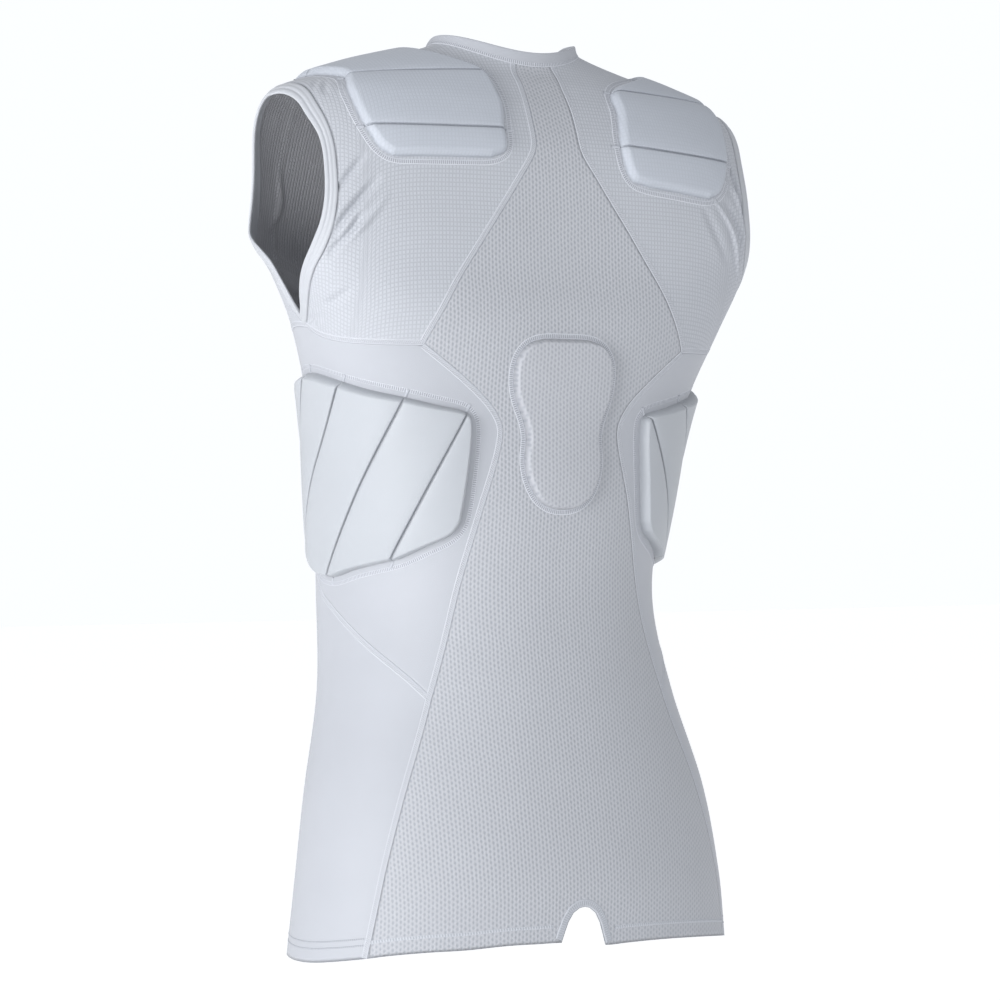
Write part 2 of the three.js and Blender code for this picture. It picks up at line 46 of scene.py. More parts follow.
# Rings of the body from the hem to the top of the neck band: heights at the back, side and
# front, half the width, the ring's centre, its depths behind and ahead, and how square it is
RING_COLUMNS = (
    "up", "back", "side", "front", "half", "middle", "behind", "ahead", "bow_behind", "bow_ahead",
)
RINGS = np.array([
    (0, -686, -707, -680, 189, 17, 113, 117, 2.2, 2.2),
    (60, -636, -650, -632, 182, 17, 114, 117, 2.2, 2.2),
    (130, -572, -578, -572, 171, 10, 110, 110, 2.2, 2.2),
    (210, -497, -497, -497, 150, -11, 116, 98, 2.2, 2.2),
    (290, -420, -420, -420, 139, -40, 134, 79, 2.4, 2.2),
    (370, -340, -340, -340, 147, -25, 123, 90, 2.4, 2.2),
    (440, -270, -270, -272, 159, -3, 101, 110, 2.5, 2.3),
    (505, -205, -205, -215, 184, 17, 86, 122, 2.7, 2.2),
    (545, -166, -164, -190, 203, 18, 80, 120, 3.2, 2.2),
    (590, -122, -120, -165, 215, 12, 84, 116, 3.6, 2.8),
    (645, -72, -62, -130, 214, 5, 87, 102, 3, 2.6),
    (682, -40, -27, -108, 203, 2, 78, 94, 2.4, 2.2),
    (712, -18, -8, -92, 152, 0, 66, 90, 2.2, 2),
    (745, -2, 17, -75, 68, 2, 52, 80, 2.1, 2),
    (757, 10, 28, -66, 60, 4, 50, 78, 2, 2),
])
RING = {name: RINGS[:, k] for k, name in enumerate(RING_COLUMNS)}
# The rings at the neck band's seam and at its open edge
NECK_SEAM = 748.5
NECK_TOP = 757
# About how much cloth one degree round is
MM_PER_DEGREE = 2.6

# Places are (turn, up): degrees round from the centre back, and the ring. These are on the
# wearer's left, and the right side mirrors them.
HEM_CORNER = (57.5, 0)
HIP_CORNER = (43, 209)
BLADE_CORNER = (38.5, 484.5)
UNDERARM = (91, 500.5)
SHOULDER_POINT = (93, 688)
NECK_BACK_CORNER = (15, NECK_SEAM)
NECK_SIDE_CORNER = (100, NECK_SEAM)
FRONT_LOW_CORNER = (128, 347)
FRONT_TOP_CORNER = (140, 493)

HIP_SEAM = (HEM_CORNER, (54.5, 70), (49.5, 130), HIP_CORNER)
WAIST_SEAM = (
    HIP_CORNER, (37.8, 256), (33, 303), (26.3, 358), (20.7, 401), (19.4, 421), (21.6, 436),
    (26.8, 453), BLADE_CORNER,
)
SPINE_SEAM = (
    BLADE_CORNER, (28.5, 522), (20.7, 556), (14.2, 590), (8.8, 623), (5.8, 644), (5.3, 662),
    (6, 700), (8.2, 722), NECK_BACK_CORNER,
)
NECK_BACK = (NECK_BACK_CORNER, (57, NECK_SEAM), NECK_SIDE_CORNER)
SHOULDER_SEAM = (NECK_SIDE_CORNER, (97, 714), SHOULDER_POINT)
BACK_YOKE_SEAM = (BLADE_CORNER, (50, 485), (64, 487), (78, 492), UNDERARM)
FRONT_YOKE_SEAM = (UNDERARM, (100, 502), (113, 501), FRONT_TOP_CORNER)
DIAGONAL_SEAM = (
    HIP_CORNER, (52, 228), (67, 253), (83, 278), (95, 295), (110, 319), FRONT_LOW_CORNER,
)
FRONT_SEAM = (FRONT_LOW_CORNER, (134, 385), (138.5, 440), FRONT_TOP_CORNER)

# Armhole from the underarm to the shoulder point: the binding's seam, and its open edge
ARMHOLE_BACK = {
    "seam": (
        UNDERARM, (83, 513), (74, 526), (64, 540.5), (55.5, 556), (50, 575), (47.8, 597),
        (48.6, 624), (51.1, 645.4), (55.5, 664), (63.5, 680), (75, 687.5), SHOULDER_POINT,
    ),
    "edge": (
        (93, 509), (87, 521), (79, 532.5), (69.5, 545), (60.5, 559.5), (54, 577), (51.4, 597),
        (52, 622), (54.5, 641), (59.5, 656.5), (66, 670), (76.5, 676.8), (93, 677.3),
    ),
}
ARMHOLE_FRONT = {
    "seam": (
        UNDERARM, (99.5, 517), (102.3, 533), (106, 546), (113, 558), (122, 574), (127.5, 594),
        (129, 615), (127, 637), (121, 659), (111, 676), (101, 685.5), SHOULDER_POINT,
    ),
    "edge": (
        (93, 509), (95.4, 519.5), (98, 536), (101.5, 550), (109, 565), (117.5, 581),
        (122.5, 597), (124, 615), (122.3, 634), (117, 652), (108.5, 667), (100, 675.5),
        (93, 677.3),
    ),
}

# The arch cut in the hem, and how far up the mesh's rows and columns still follow it
HEM_NOTCH = ((6.1, 0), (5.2, 11), (4.4, 20), (3.1, 28.5), (1.4, 33), (0, 34))
NOTCH_FADES_BY = 90
COLUMNS_EVEN_BY = 150

# The hem isn't quite level: the turn, and how far the hem is lifted there. The lift fades out
# up the cloth.
HEM_LIFTS = np.array((
    (-180, -1), (-120, 0), (-60, 1.5), (-45, 1), (-30, -0.5), (-20, -2), (-12, -3.5), (-6, -4.5),
    (0, -2), (6, 1), (12, 2.2), (20, 4), (30, 5), (40, 7.5), (50, 8.7), (57.5, 8.3), (70, 7.6),
    (80, 6.5), (95, 5), (105, 3.5), (112, 1.5), (120, -2.5), (135, -3), (180, -1),
), float)
LIFT_FADES_BY = 110

# Foam pads: a row runs across the pad, from its near edge to its far edge, and a channel is
# sewn along each row that is named by its number
RIB_PAD = {
    "from": (
        (33.4, 345.5), (32.5, 352), (30.2, 384), (28.3, 420), (29.6, 432.5), (38.3, 438.5),
        (47, 444), (59, 450), (71, 456.5), (84, 462), (97, 465), (108, 462), (114.5, 453),
    ),
    "to": (
        (35, 339.8), (37.6, 335.6), (43.5, 329), (50.5, 321), (54.5, 318), (69, 311), (83, 304),
        (97, 311), (108.5, 328), (115, 353), (119.5, 384), (121.5, 414), (120.5, 437),
    ),
    "channels": (4, 6, 8, 10),
}
SPINE_HALF_WIDTHS = (
    (1.2, 357.6), (3.6, 358.3), (6.2, 360.8), (9.2, 366.5), (11.9, 380), (12.8, 396),
    (11.9, 412), (12.5, 425), (14.8, 443), (15.2, 460), (14, 475), (10.8, 486), (6.5, 490),
)
SPINE_PAD = {
    "from": tuple((-half, up) for half, up in SPINE_HALF_WIDTHS),
    "to": SPINE_HALF_WIDTHS,
    "channels": (),
}
SHOULDER_PAD_LEFT = {
    "from": (
        (16, 634.5), (12.6, 642), (12.3, 660.5), (12.8, 691), (21.5, 723), (42, 734), (88, 735),
        (112, 731), (121, 727),
    ),
    "to": (
        (36.5, 629), (39.5, 636), (43, 652), (48.5, 676), (59, 697), (73, 701), (91, 701),
        (108, 696), (117, 693),
    ),
    "channels": (2, 4, 6),
}
SHOULDER_PAD_RIGHT = {
    "from": (
        (21, 617), (16.8, 624), (15.4, 652), (17.5, 682), (23.5, 708), (42, 721), (88, 725),
        (110, 721), (119, 717),
    ),
    "to": (
        (35.5, 609.5), (39.5, 617), (44, 640), (49.5, 668), (60, 691), (74, 697), (90, 697),
        (105, 693), (114, 690),
    ),
    "channels": (2, 4, 6),
}

# Segments along each seam, as the solids have them, and how much finer the cloth here is
SEGMENTS = {
    "hip": 8, "waist": 12, "spine": 12, "neck_back": 9, "yoke": 8, "armhole_front": 12,
    "front": 20, "hem_side": 5,
}
FINER = 6
YOKE_FINER = 10
ARMHOLE_SEGMENTS = {"back": 150, "front": 120}


def smooth_read(along, values, at):
    """Values of a smooth line through the table's rows, at places along it."""
    along, values, at = (np.asarray(x, float) for x in (along, values, at))
    last = len(along) - 1
    rows = np.arange(last + 1)
    before, after = np.maximum(rows - 1, 0), np.minimum(rows + 1, last)
    slopes = (values[after] - values[before]) / (along[after] - along[before])
    k = np.searchsorted(along[1:last], at)
    span = along[k + 1] - along[k]
    t = (at - along[k]) / span
    rise = t * t * (3 - 2 * t)
    leave = t * (1 - t) ** 2 * span * slopes[k]
    arrive = t * t * (t - 1) * span * slopes[k + 1]
    return values[k] * (1 - rise) + values[k + 1] * rise + leave + arrive


def smooth_step(value, low, high):
    t = np.clip((value - low) / (high - low), 0, 1)
    return t * t * (3 - 2 * t)


def lifted(turn, up):
    """The height of a place once the hem's lift is added."""
    turn = (np.asarray(turn) + 180) % 360 - 180
    fade = np.clip(1 - up / LIFT_FADES_BY, 0, 1) ** 2
    return up + fade * smooth_read(HEM_LIFTS[:, 0], HEM_LIFTS[:, 1], turn)


def body_point(places):
    """Points of the shirt's outer face, in metres, for an array of places."""
    places = np.asarray(places, float)
    turn = np.radians(places[..., 0])
    up = lifted(places[..., 0], places[..., 1])
    ring = {name: smooth_read(RING["up"], RING[name], up) for name in RING_COLUMNS[1:]}
    sine, cosine = np.sin(turn), np.cos(turn)
    is_back = cosine >= 0
    bow = np.where(is_back, ring["bow_behind"], ring["bow_ahead"])
    reach = (np.abs(sine) ** bow + np.abs(cosine) ** bow) ** (-1 / bow)
    depth = np.where(is_back, ring["behind"], ring["ahead"])
    end = np.where(is_back, ring["back"], ring["front"])
    across = ring["half"] * sine * reach
    back = ring["middle"] + depth * cosine * reach
    height = ring["side"] + (end - ring["side"]) * cosine**2
    return MM * np.stack([across, back, height], axis=-1)


def unit(vectors):
    return vectors / np.maximum(np.linalg.norm(vectors, axis=-1, keepdims=True), 1e-12)


def outward(places, step=0.2):
    """Directions straight out of the cloth."""
    places = np.asarray(places, float)
    turn, up = places[..., 0], places[..., 1]
    higher = np.stack([turn, np.minimum(up + step, NECK_TOP)], -1)
    lower = np.stack([turn, np.maximum(up - step, 0)], -1)
    onward = np.stack([turn + step, up], -1)
    backward = np.stack([turn - step, up], -1)
    rise = body_point(higher) - body_point(lower)
    around = body_point(onward) - body_point(backward)
    return unit(np.cross(rise, around))


# The grid of places on which lengths of cloth are measured
MEASURED_TURNS = (-192, 373, 1.5)
MEASURED_UP_STEP = 4


def lay_out_cloth():
    """Length of cloth round from the centre back and up from the hem, on a grid of places."""
    turns = np.arange(*MEASURED_TURNS)
    ups = np.append(np.arange(0, NECK_TOP, MEASURED_UP_STEP), NECK_TOP)
    points = body_point(np.stack(np.meshgrid(turns, ups), -1))
    across = np.linalg.norm(np.diff(points, axis=1), axis=-1)
    across = np.concatenate([np.zeros((len(ups), 1)), np.cumsum(across, axis=1)], axis=1)
    across -= across[:, [int(np.argmin(np.abs(turns)))]]
    rise = np.linalg.norm(np.diff(points, axis=0), axis=-1)
    rise = np.concatenate([np.zeros((1, len(turns))), np.cumsum(rise, axis=0)], axis=0)
    return turns, ups, np.stack([across, rise], -1)


CLOTH_TURNS, CLOTH_UPS, CLOTH_LENGTHS = lay_out_cloth()


def cloth_lengths(places):
    """Metres of cloth to each place, round from the centre back and up from the hem."""
    places = np.asarray(places, float)
    i = np.clip(np.searchsorted(CLOTH_TURNS, places[..., 0]) - 1, 0, len(CLOTH_TURNS) - 2)
    j = np.clip(np.searchsorted(CLOTH_UPS, places[..., 1]) - 1, 0, len(CLOTH_UPS) - 2)
    s = (places[..., 0] - CLOTH_TURNS[i]) / (CLOTH_TURNS[i + 1] - CLOTH_TURNS[i])
    t = (places[..., 1] - CLOTH_UPS[j]) / (CLOTH_UPS[j + 1] - CLOTH_UPS[j])
    s, t = s[..., None], t[..., None]
    low = CLOTH_LENGTHS[j, i] * (1 - s) + CLOTH_LENGTHS[j, i + 1] * s
    high = CLOTH_LENGTHS[j + 1, i] * (1 - s) + CLOTH_LENGTHS[j + 1, i + 1] * s
    return low * (1 - t) + high * t


def mirrored(places):
    """Places of the wearer's left, on the right."""
    return np.asarray(places, float) * (-1, 1)


def mirrored_round(places):
    """Places of the wearer's left, on the right and counted on past the centre front."""
    return mirrored(places) + (360, 0)


def mix(a, b, t):
    return np.asarray(a, float) * (1 - t) + np.asarray(b, float) * t


def places_along(points, segments):
    """Evenly spaced places on a smooth line through the given ones."""
    points = np.asarray(points, float)
    steps = np.linalg.norm(np.diff(points, axis=0) * (MM_PER_DEGREE, 1), axis=1)
    lengths = np.concatenate([[0], np.cumsum(steps)])
    at = np.linspace(0, lengths[-1], segments + 1)
    return np.stack([smooth_read(lengths, points[:, k], at) for k in (0, 1)], -1)


def joined(*lines):
    """Lines of places end to end, without doubling where they meet."""
    return np.concatenate([lines[0], *(line[1:] for line in lines[1:])])


def level_line(start, end, segments):
    return mix(start, end, np.linspace(0, 1, segments + 1)[:, None])


def fill_between(bottom, top, left, right):
    """A grid of places that fills the space between four lines of places."""
    s = np.linspace(0, 1, len(bottom))[None, :, None]
    t = np.linspace(0, 1, len(left))[:, None, None]
    upright = mix(bottom[None], top[None], t)
    level = mix(left[:, None], right[:, None], s)
    corners = mix(mix(bottom[0], bottom[-1], s), mix(top[0], top[-1], s), t)
    return upright + level - corners


def seam_lines(finer):
    """The shirt's seams on the wearer's left, cut finer than the solids' segments."""
    count = {name: number * finer for name, number in SEGMENTS.items()}
    return {
        "hip": places_along(HIP_SEAM, count["hip"]),
        "waist": places_along(WAIST_SEAM, count["waist"]),
        "spine": places_along(SPINE_SEAM, count["spine"]),
        "neck_back": places_along(NECK_BACK, count["neck_back"]),
        "shoulder": places_along(SHOULDER_SEAM, count["yoke"]),
        "back_yoke": places_along(BACK_YOKE_SEAM, count["yoke"]),
        "front_yoke": places_along(FRONT_YOKE_SEAM, count["yoke"]),
        "diagonal": places_along(DIAGONAL_SEAM, 2 * count["yoke"]),
        "front": places_along(FRONT_SEAM, count["waist"]),
        "armhole_back": places_along(ARMHOLE_BACK["seam"], count["spine"] + count["neck_back"]),
        "armhole_front": places_along(ARMHOLE_FRONT["seam"], count["armhole_front"]),
    }


SEAMS = seam_lines(FINER)


def back_mesh_places():
    """The centre back panel, its lowest rows shaped by the notch."""
    side = joined(SEAMS["hip"], SEAMS["waist"], SEAMS["spine"])
    notch = joined(*(level_line(a, b, FINER) for a, b in zip(HEM_NOTCH, HEM_NOTCH[1:])))
    outer = level_line(HEM_CORNER, HEM_NOTCH[0], FINER * SEGMENTS["hem_side"])
    half_hem = joined(outer, notch)
    hem = joined(mirrored(half_hem), half_hem[::-1])
    up = side[:, 1][:, None]
    evenness = smooth_step(up, 0, COLUMNS_EVEN_BY)
    even = np.linspace(-1, 1, len(hem))[None]
    turn = side[:, :1] * mix(hem[None, :, 0] / HEM_CORNER[0], even, evenness)
    return np.stack([turn, up + hem[None, :, 1] * np.maximum(1 - up / NOTCH_FADES_BY, 0)], -1)


def back_yoke_places():
    """The left back yoke, from the mesh to the armhole and up to the shoulder seam."""
    lines = seam_lines(YOKE_FINER)
    inner = joined(lines["spine"], lines["neck_back"])
    return fill_between(lines["back_yoke"], lines["shoulder"], inner, lines["armhole_back"])


def side_panel_places():
    """The left side panel, round the ribs under the arm."""
    top = joined(SEAMS["back_yoke"], SEAMS["front_yoke"])
    return fill_between(SEAMS["diagonal"], top, SEAMS["waist"], SEAMS["front"])


def front_body_places():
    """The plain front, from hip seam to hip seam."""
    side = joined(SEAMS["hip"], SEAMS["diagonal"], SEAMS["front"])
    across = np.linspace(0, 1, FINER * SEGMENTS["front"] + 1)[None, :, None]
    return mix(side[:, None], mirrored_round(side)[:, None], across)


def front_yoke_places():
    """The front yoke, from armhole to armhole and up to the neck and shoulders."""
    segments = FINER * SEGMENTS["front"]
    chest = level_line(FRONT_TOP_CORNER, mirrored_round(FRONT_TOP_CORNER), segments)
    neck = level_line(NECK_SIDE_CORNER, mirrored_round(NECK_SIDE_CORNER), segments)
    shoulder = SEAMS["shoulder"][::-1]
    bottom = joined(SEAMS["front_yoke"], chest, mirrored_round(SEAMS["front_yoke"])[::-1])
    top = joined(shoulder, neck, mirrored_round(shoulder)[::-1])
    return fill_between(
        bottom, top, SEAMS["armhole_front"], mirrored_round(SEAMS["armhole_front"])
    )


# The yokes' grid knit is measured round the body low down, and straight across from the ring
# OVER_SHOULDER_BY up, where it is a little stretched. A yoke is in front if its middle is
# past FRONT_FROM.
YOKE_BASE = 460
YOKE_UP_STEP = 3
YOKE_REACH = 216
YOKE_STEPS_ACROSS = 55
OVER_SHOULDER_FROM = 600
OVER_SHOULDER_BY = 690
SHOULDER_STRETCH = 1.05
FRONT_FROM = 110


def lay_out_yokes():
    """Length of cloth up the back, over the shoulder and down the front, at steps across."""
    across = np.linspace(0, YOKE_REACH, YOKE_STEPS_ACROSS)
    ups = np.arange(YOKE_BASE, NECK_TOP + 1, YOKE_UP_STEP)
    ring = {name: smooth_read(RING["up"], RING[name], ups)[:, None] for name in RING_COLUMNS[1:]}
    lengths = []
    for depth, end, bow in (
        (ring["behind"], ring["back"], ring["bow_behind"]),
        (-ring["ahead"], ring["front"], ring["bow_ahead"]),
    ):
        share = np.minimum(across[None] / ring["half"], 1)
        reach = np.maximum(1 - share**bow, 0) ** (1 / bow)
        back = ring["middle"] + depth * reach
        facing = reach**2 / (reach**2 + share**2)
        height = ring["side"] + (end - ring["side"]) * facing
        step = np.hypot(np.diff(back, axis=0), np.diff(height, axis=0))
        past = (share[1:] >= 1) & (ups[1:, None] > OVER_SHOULDER_FROM)
        step = np.where(past, 0, step)
        lengths.append(np.concatenate([np.zeros((1, len(across))), np.cumsum(step, axis=0)]))
    rise, fall = lengths
    return across, ups, rise, rise[-1:] + fall[-1:] - fall


YOKE_ACROSS, YOKE_UPS, YOKE_RISE, YOKE_FALL = lay_out_yokes()


def read_table(table, up, across):
    """A yoke table's length at any ring and distance across."""
    i = np.clip((up - YOKE_UPS[0]) / (YOKE_UPS[1] - YOKE_UPS[0]), 0, len(YOKE_UPS) - 1.001)
    j = np.clip(across / YOKE_ACROSS[1], 0, len(YOKE_ACROSS) - 1.001)
    low, near = i.astype(int), j.astype(int)
    s, t = i - low, j - near
    below = table[low, near] * (1 - t) + table[low, near + 1] * t
    above = table[low + 1, near] * (1 - t) + table[low + 1, near + 1] * t
    return below * (1 - s) + above * s


def yoke_map(places):
    """Metres of cloth across from the middle and up over the shoulder, for the grid knit."""
    places = np.asarray(places, float)
    turn, up = places[..., 0], places[..., 1]
    across = body_point(places)[..., 0] / MM
    round_back = cloth_lengths(places)[..., 0] / MM
    half_way = cloth_lengths(np.stack([np.full_like(turn, 180), up], -1))[..., 0] / MM
    ahead = np.abs(turn).mean() > FRONT_FROM
    low = np.where(ahead, half_way - round_back, round_back)
    over_shoulder = smooth_step(up, OVER_SHOULDER_FROM, OVER_SHOULDER_BY)
    u = mix(low, SHOULDER_STRETCH * across, over_shoulder)
    is_back = np.cos(np.radians(turn)) >= 0
    far = np.abs(across)
    v = np.where(is_back, read_table(YOKE_RISE, up, far), read_table(YOKE_FALL, up, far))
    return MM * np.stack([u, v], -1)


def distance_to_line(points, line):
    """Metres from each point to a line of points, and the share of the way along it."""
    starts, ends = line[:-1], line[1:]
    best = np.full(points.shape[:-1], 1e9)
    share = np.zeros(points.shape[:-1])
    for k, (a, b) in enumerate(zip(starts, ends)):
        run = b - a
        t = np.clip(((points - a) @ run) / max(run @ run, 1e-12), 0, 1)
        far = np.linalg.norm(points - a - t[..., None] * run, axis=-1)
        closer = far < best
        best = np.where(closer, far, best)
        share = np.where(closer, (k + t) / len(starts), share)
    return best, share


# Soft creases of the cloth: where each runs, how wide it is and how deep, in millimetres.
# A ridge has a depth below zero.
CREASES_LEFT = (
    {"line": ((42, 630), (45, 614), (48.5, 599)), "width": 3.0, "depth": 3.2},
    {"line": ((38.5, 613), (44, 590), (52, 563)), "width": 3.3, "depth": 4.3},
    {"line": ((36.5, 600), (43, 574), (54, 551)), "width": 3.0, "depth": -2},
    {"line": ((42, 586), (47, 567), (56, 549)), "width": 3.2, "depth": 3.5},
    {"line": ((53, 526), (60, 519), (70, 513)), "width": 3.6, "depth": 1.7},
    {"line": ((63, 693), (60, 686), (56, 677)), "width": 3.2, "depth": 1.3},
    {"line": ((68, 694), (65, 687), (62, 680)), "width": 2.9, "depth": 0.9},
)
CREASES_RIGHT = (
    {"line": ((-37, 612), (-42, 588), (-48, 560), (-55, 541)), "width": 2.0, "depth": -2.8},
    {"line": ((-40, 612), (-45, 588), (-50.5, 560)), "width": 3.4, "depth": 3},
    {"line": ((-42.5, 630), (-46, 606), (-49.5, 574)), "width": 2.4, "depth": -2.5},
    {"line": ((-34, 604), (-38, 580), (-44, 556)), "width": 4.2, "depth": 1.6},
    {"line": ((-47, 668), (-45.5, 642), (-46.4, 612), (-48.6, 582)), "width": 2.4, "depth": 3.8},
    {"line": ((-60, 694), (-56, 684), (-52, 668)), "width": 3.2, "depth": 2.2},
)
CREASES_FRONT = (
    {"line": ((132, 664), (137, 632), (133, 600)), "width": 3.6, "depth": 1.4},
    {"line": ((130, 596), (140, 574), (151, 558)), "width": 3.7, "depth": 1.3},
    {"line": ((122, 560), (130, 546), (142, 536)), "width": 3.6, "depth": 1},
    {"line": ((229, 656), (224, 628), (228, 596)), "width": 3.7, "depth": 1.5},
    {"line": ((232, 590), (221, 570), (211, 557)), "width": 3.6, "depth": 1.2},
    {"line": ((238, 556), (228, 545), (219, 538)), "width": 3.3, "depth": 0.9},
)


CREASE_SEGMENTS = 12
TROUGH_SHARE = 1.4
LIP_SHARE = 0.5


def crease_heights(points, creases):
    """Metres that the creases lower or raise the cloth: a trough between two soft lips."""
    heights = np.zeros(points.shape[:-1])
    for crease in creases:
        line = body_point(places_along(crease["line"], CREASE_SEGMENTS))
        far, share = distance_to_line(points, line)
        fade = np.sin(np.pi * np.clip(share, 0, 1)) ** 0.7
        trough = np.exp(-((far / (crease["width"] * MM)) ** 2))
        lips = np.exp(-((far / (crease["width"] * MM * 2)) ** 2))
        heights -= crease["depth"] * MM * fade * (TROUGH_SHARE * trough - LIP_SHARE * lips)
    return heights


def new_object(name, mesh, *materials):
    """An object at the origin for a mesh, with its materials in order."""
    piece = bpy.data.objects.new(name, mesh)
    bpy.context.scene.collection.objects.link(piece)
    for material in materials:
        mesh.materials.append(material)
    return piece


def run_along(points):
    """Length of a line of points from its start to each of them."""
    return np.concatenate([[0], np.cumsum(np.linalg.norm(np.diff(points, axis=0), axis=1))])


def grid_mesh(name, points, uv, border=None, closed=False):
    """A smooth quad mesh from a grid of points, with a cloth map in metres."""
    rows, columns = points.shape[:2]
    bm = bmesh.new()
    bmesh.ops.create_grid(bm, x_segments=columns - 1, y_segments=rows - 1, size=0.5)
    mesh = bpy.data.meshes.new(name)
    bm.to_mesh(mesh)
    bm.free()
    flat = np.empty(len(mesh.vertices) * 3)
    mesh.vertices.foreach_get("co", flat)
    flat = flat.reshape(-1, 3)
    i = np.rint((flat[:, 0] + 0.5) * (columns - 1)).astype(int)
    j = np.rint((flat[:, 1] + 0.5) * (rows - 1)).astype(int)
    mesh.vertices.foreach_set("co", points[j, i].reshape(-1))
    corners = np.empty(len(mesh.loops), dtype=np.int32)
    mesh.loops.foreach_get("vertex_index", corners)
    layer = mesh.uv_layers.new(name="cloth")
    layer.data.foreach_set("uv", uv[j, i][corners].reshape(-1))
    if border is not None:
        mesh.attributes.new("border", "FLOAT", "POINT").data.foreach_set("value", border[j, i])
    mesh.polygons.foreach_set("use_smooth", np.ones(len(mesh.polygons), dtype=bool))
    mesh.update()
    if closed:
        close_grid(mesh)
    return mesh


def close_grid(mesh):
    """Welds the edges of a grid that meet, as in a tube or a ring."""
    bm = bmesh.new()
    bm.from_mesh(mesh)
    bmesh.ops.remove_doubles(bm, verts=bm.verts, dist=1e-6)
    bmesh.ops.recalc_face_normals(bm, faces=bm.faces)
    bm.to_mesh(mesh)
    bm.free()


def face_out(mesh, normals):
    """Turns the faces so that they point the way the cloth does."""
    middle = mesh.polygons[len(mesh.polygons) // 2]
    nearest = np.argmin(np.linalg.norm(normals[0] - np.array(middle.center), axis=-1))
    if Vector(normals[1][nearest]).dot(middle.normal) < 0:
        mesh.flip_normals()
    return mesh


def border_distances(points):
    """Metres from each point of a grid to the nearest of the grid's four edges."""
    nearest = np.full(points.shape[:2], 1e9)
    for way in (0, 1):
        step = np.linalg.norm(np.diff(points, axis=way), axis=-1)
        start = np.zeros((1, points.shape[1])) if way == 0 else np.zeros((points.shape[0], 1))
        run = np.concatenate([start, np.cumsum(step, axis=way)], axis=way)
        whole = run[-1:] if way == 0 else run[:, -1:]
        nearest = np.minimum(nearest, np.minimum(run, whole - run))
    return nearest


def finish_piece(piece, slot, *nodes):
    """Sets the piece to ride on the root and hides the solids it stands for; its slot is not used.
    """
    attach(piece, "root")
    if nodes:
        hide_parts(*nodes)
    return piece


CLOTH_WALL = 1.2 * MM


def add_cloth(name, node, places, slot, materials, creases=(), cloth_map=None):
    """One cut piece of cloth on the shirt's form, with its wrong side inside."""
    base = body_point(places)
    normals = outward(places)
    points = base + normals * crease_heights(base, creases)[..., None]
    # The distance to the piece's edges lets its material paint shade along its seams
    mesh = grid_mesh(name, points, (cloth_map or cloth_lengths)(places), border_distances(base))
    face_out(mesh, (points.reshape(-1, 3), normals.reshape(-1, 3)))
    piece = new_object(name, mesh, *materials)
    wall = piece.modifiers.new("wall", "SOLIDIFY")
    wall.thickness = CLOTH_WALL
    wall.offset = -1
    wall.material_offset = 1
    finish_piece(piece, slot, node)
    return piece


# Camera and lights
VIEW_TURN = 30
VIEW_DISTANCE = 2.4
VIEW_HEIGHT = -0.345
FILM_WIDTH = 36
LENS = 106.7


def add_camera():
    """The photograph's view: from behind, turned towards the wearer's left."""
    data = bpy.data.cameras.new("camera")
    data.sensor_width = FILM_WIDTH
    data.lens = LENS
    camera = bpy.data.objects.new("camera", data)
    turn = math.radians(VIEW_TURN)
    towards = Vector((math.sin(turn), math.cos(turn), 0))
    camera.location = towards * VIEW_DISTANCE + Vector((0, 0, VIEW_HEIGHT))
    camera.rotation_mode = "QUATERNION"
    camera.rotation_quaternion = (-towards).to_track_quat("-Z", "Y")
    bpy.context.scene.collection.objects.link(camera)
    bpy.context.scene.camera = camera


def add_light(name, position, aim, size, power):
    data = bpy.data.lights.new(name, "AREA")
    data.shape = "RECTANGLE"
    data.size, data.size_y = size
    data.energy = power
    light = bpy.data.objects.new(name, data)
    light.location = position
    light.rotation_mode = "QUATERNION"
    light.rotation_quaternion = (Vector(aim) - Vector(position)).to_track_quat("-Z", "Y")
    bpy.context.scene.collection.objects.link(light)


def on_stage(right, near, height):
    """A point given as metres to the picture's right, towards the camera, and up."""
    turn = math.radians(VIEW_TURN)
    return (
        -math.cos(turn) * right + math.sin(turn) * near,
        math.sin(turn) * right + math.cos(turn) * near,
        height,
    )


# The room's light: its strength below and above, how much of it comes from the far side, and
# the backdrop's own strength
ROOM_COLOUR = (0.95, 0.97, 1, 1)
ROOM_BELOW = 1.04
ROOM_ABOVE = 0.7
FAR_SIDE_SHARE = 0.5
BACKDROP = 1.03

# The key light, placed as seen in the picture: to the left, near, and low
KEY_PLACE = (-1.65, 2.0, -0.4)
KEY_AIM = (0, 0, -0.3)
KEY_SIZE = (1.2, 1.6)
KEY_POWER = 58


def add_studio():
    """A bright even room that is dimmer overhead and behind the shirt, with one key light."""
    world = bpy.data.worlds.new("studio")
    world.use_nodes = True
    graph = Graph(world.node_tree)
    background = world.node_tree.nodes["Background"]
    background.inputs["Color"].default_value = ROOM_COLOUR
    direction = world.node_tree.nodes.new("ShaderNodeTexCoord").outputs["Generated"]
    axes = world.node_tree.nodes.new("ShaderNodeSeparateXYZ")
    graph.join(direction, axes.inputs[0])
    by_height = graph.smooth(axes.outputs["Z"], 0.15, 0.8, ROOM_BELOW, ROOM_ABOVE)
    to_camera = on_stage(0, 1, 0)
    near = graph.math(
        "ADD", graph.math("MULTIPLY", axes.outputs["X"], to_camera[0]),
        graph.math("MULTIPLY", axes.outputs["Y"], to_camera[1]),
    )
    by_nearness = graph.smooth(near, -0.8, 0.1, FAR_SIDE_SHARE, 1.0)
    lit = graph.math("MULTIPLY", by_height, by_nearness)
    seen = world.node_tree.nodes.new("ShaderNodeLightPath").outputs["Is Camera Ray"]
    seen = graph.math("MULTIPLY", seen, BACKDROP)
    graph.join(graph.math("MAXIMUM", lit, seen), background.inputs["Strength"])
    bpy.context.scene.world = world
    add_light("key", on_stage(*KEY_PLACE), on_stage(*KEY_AIM), KEY_SIZE, KEY_POWER)


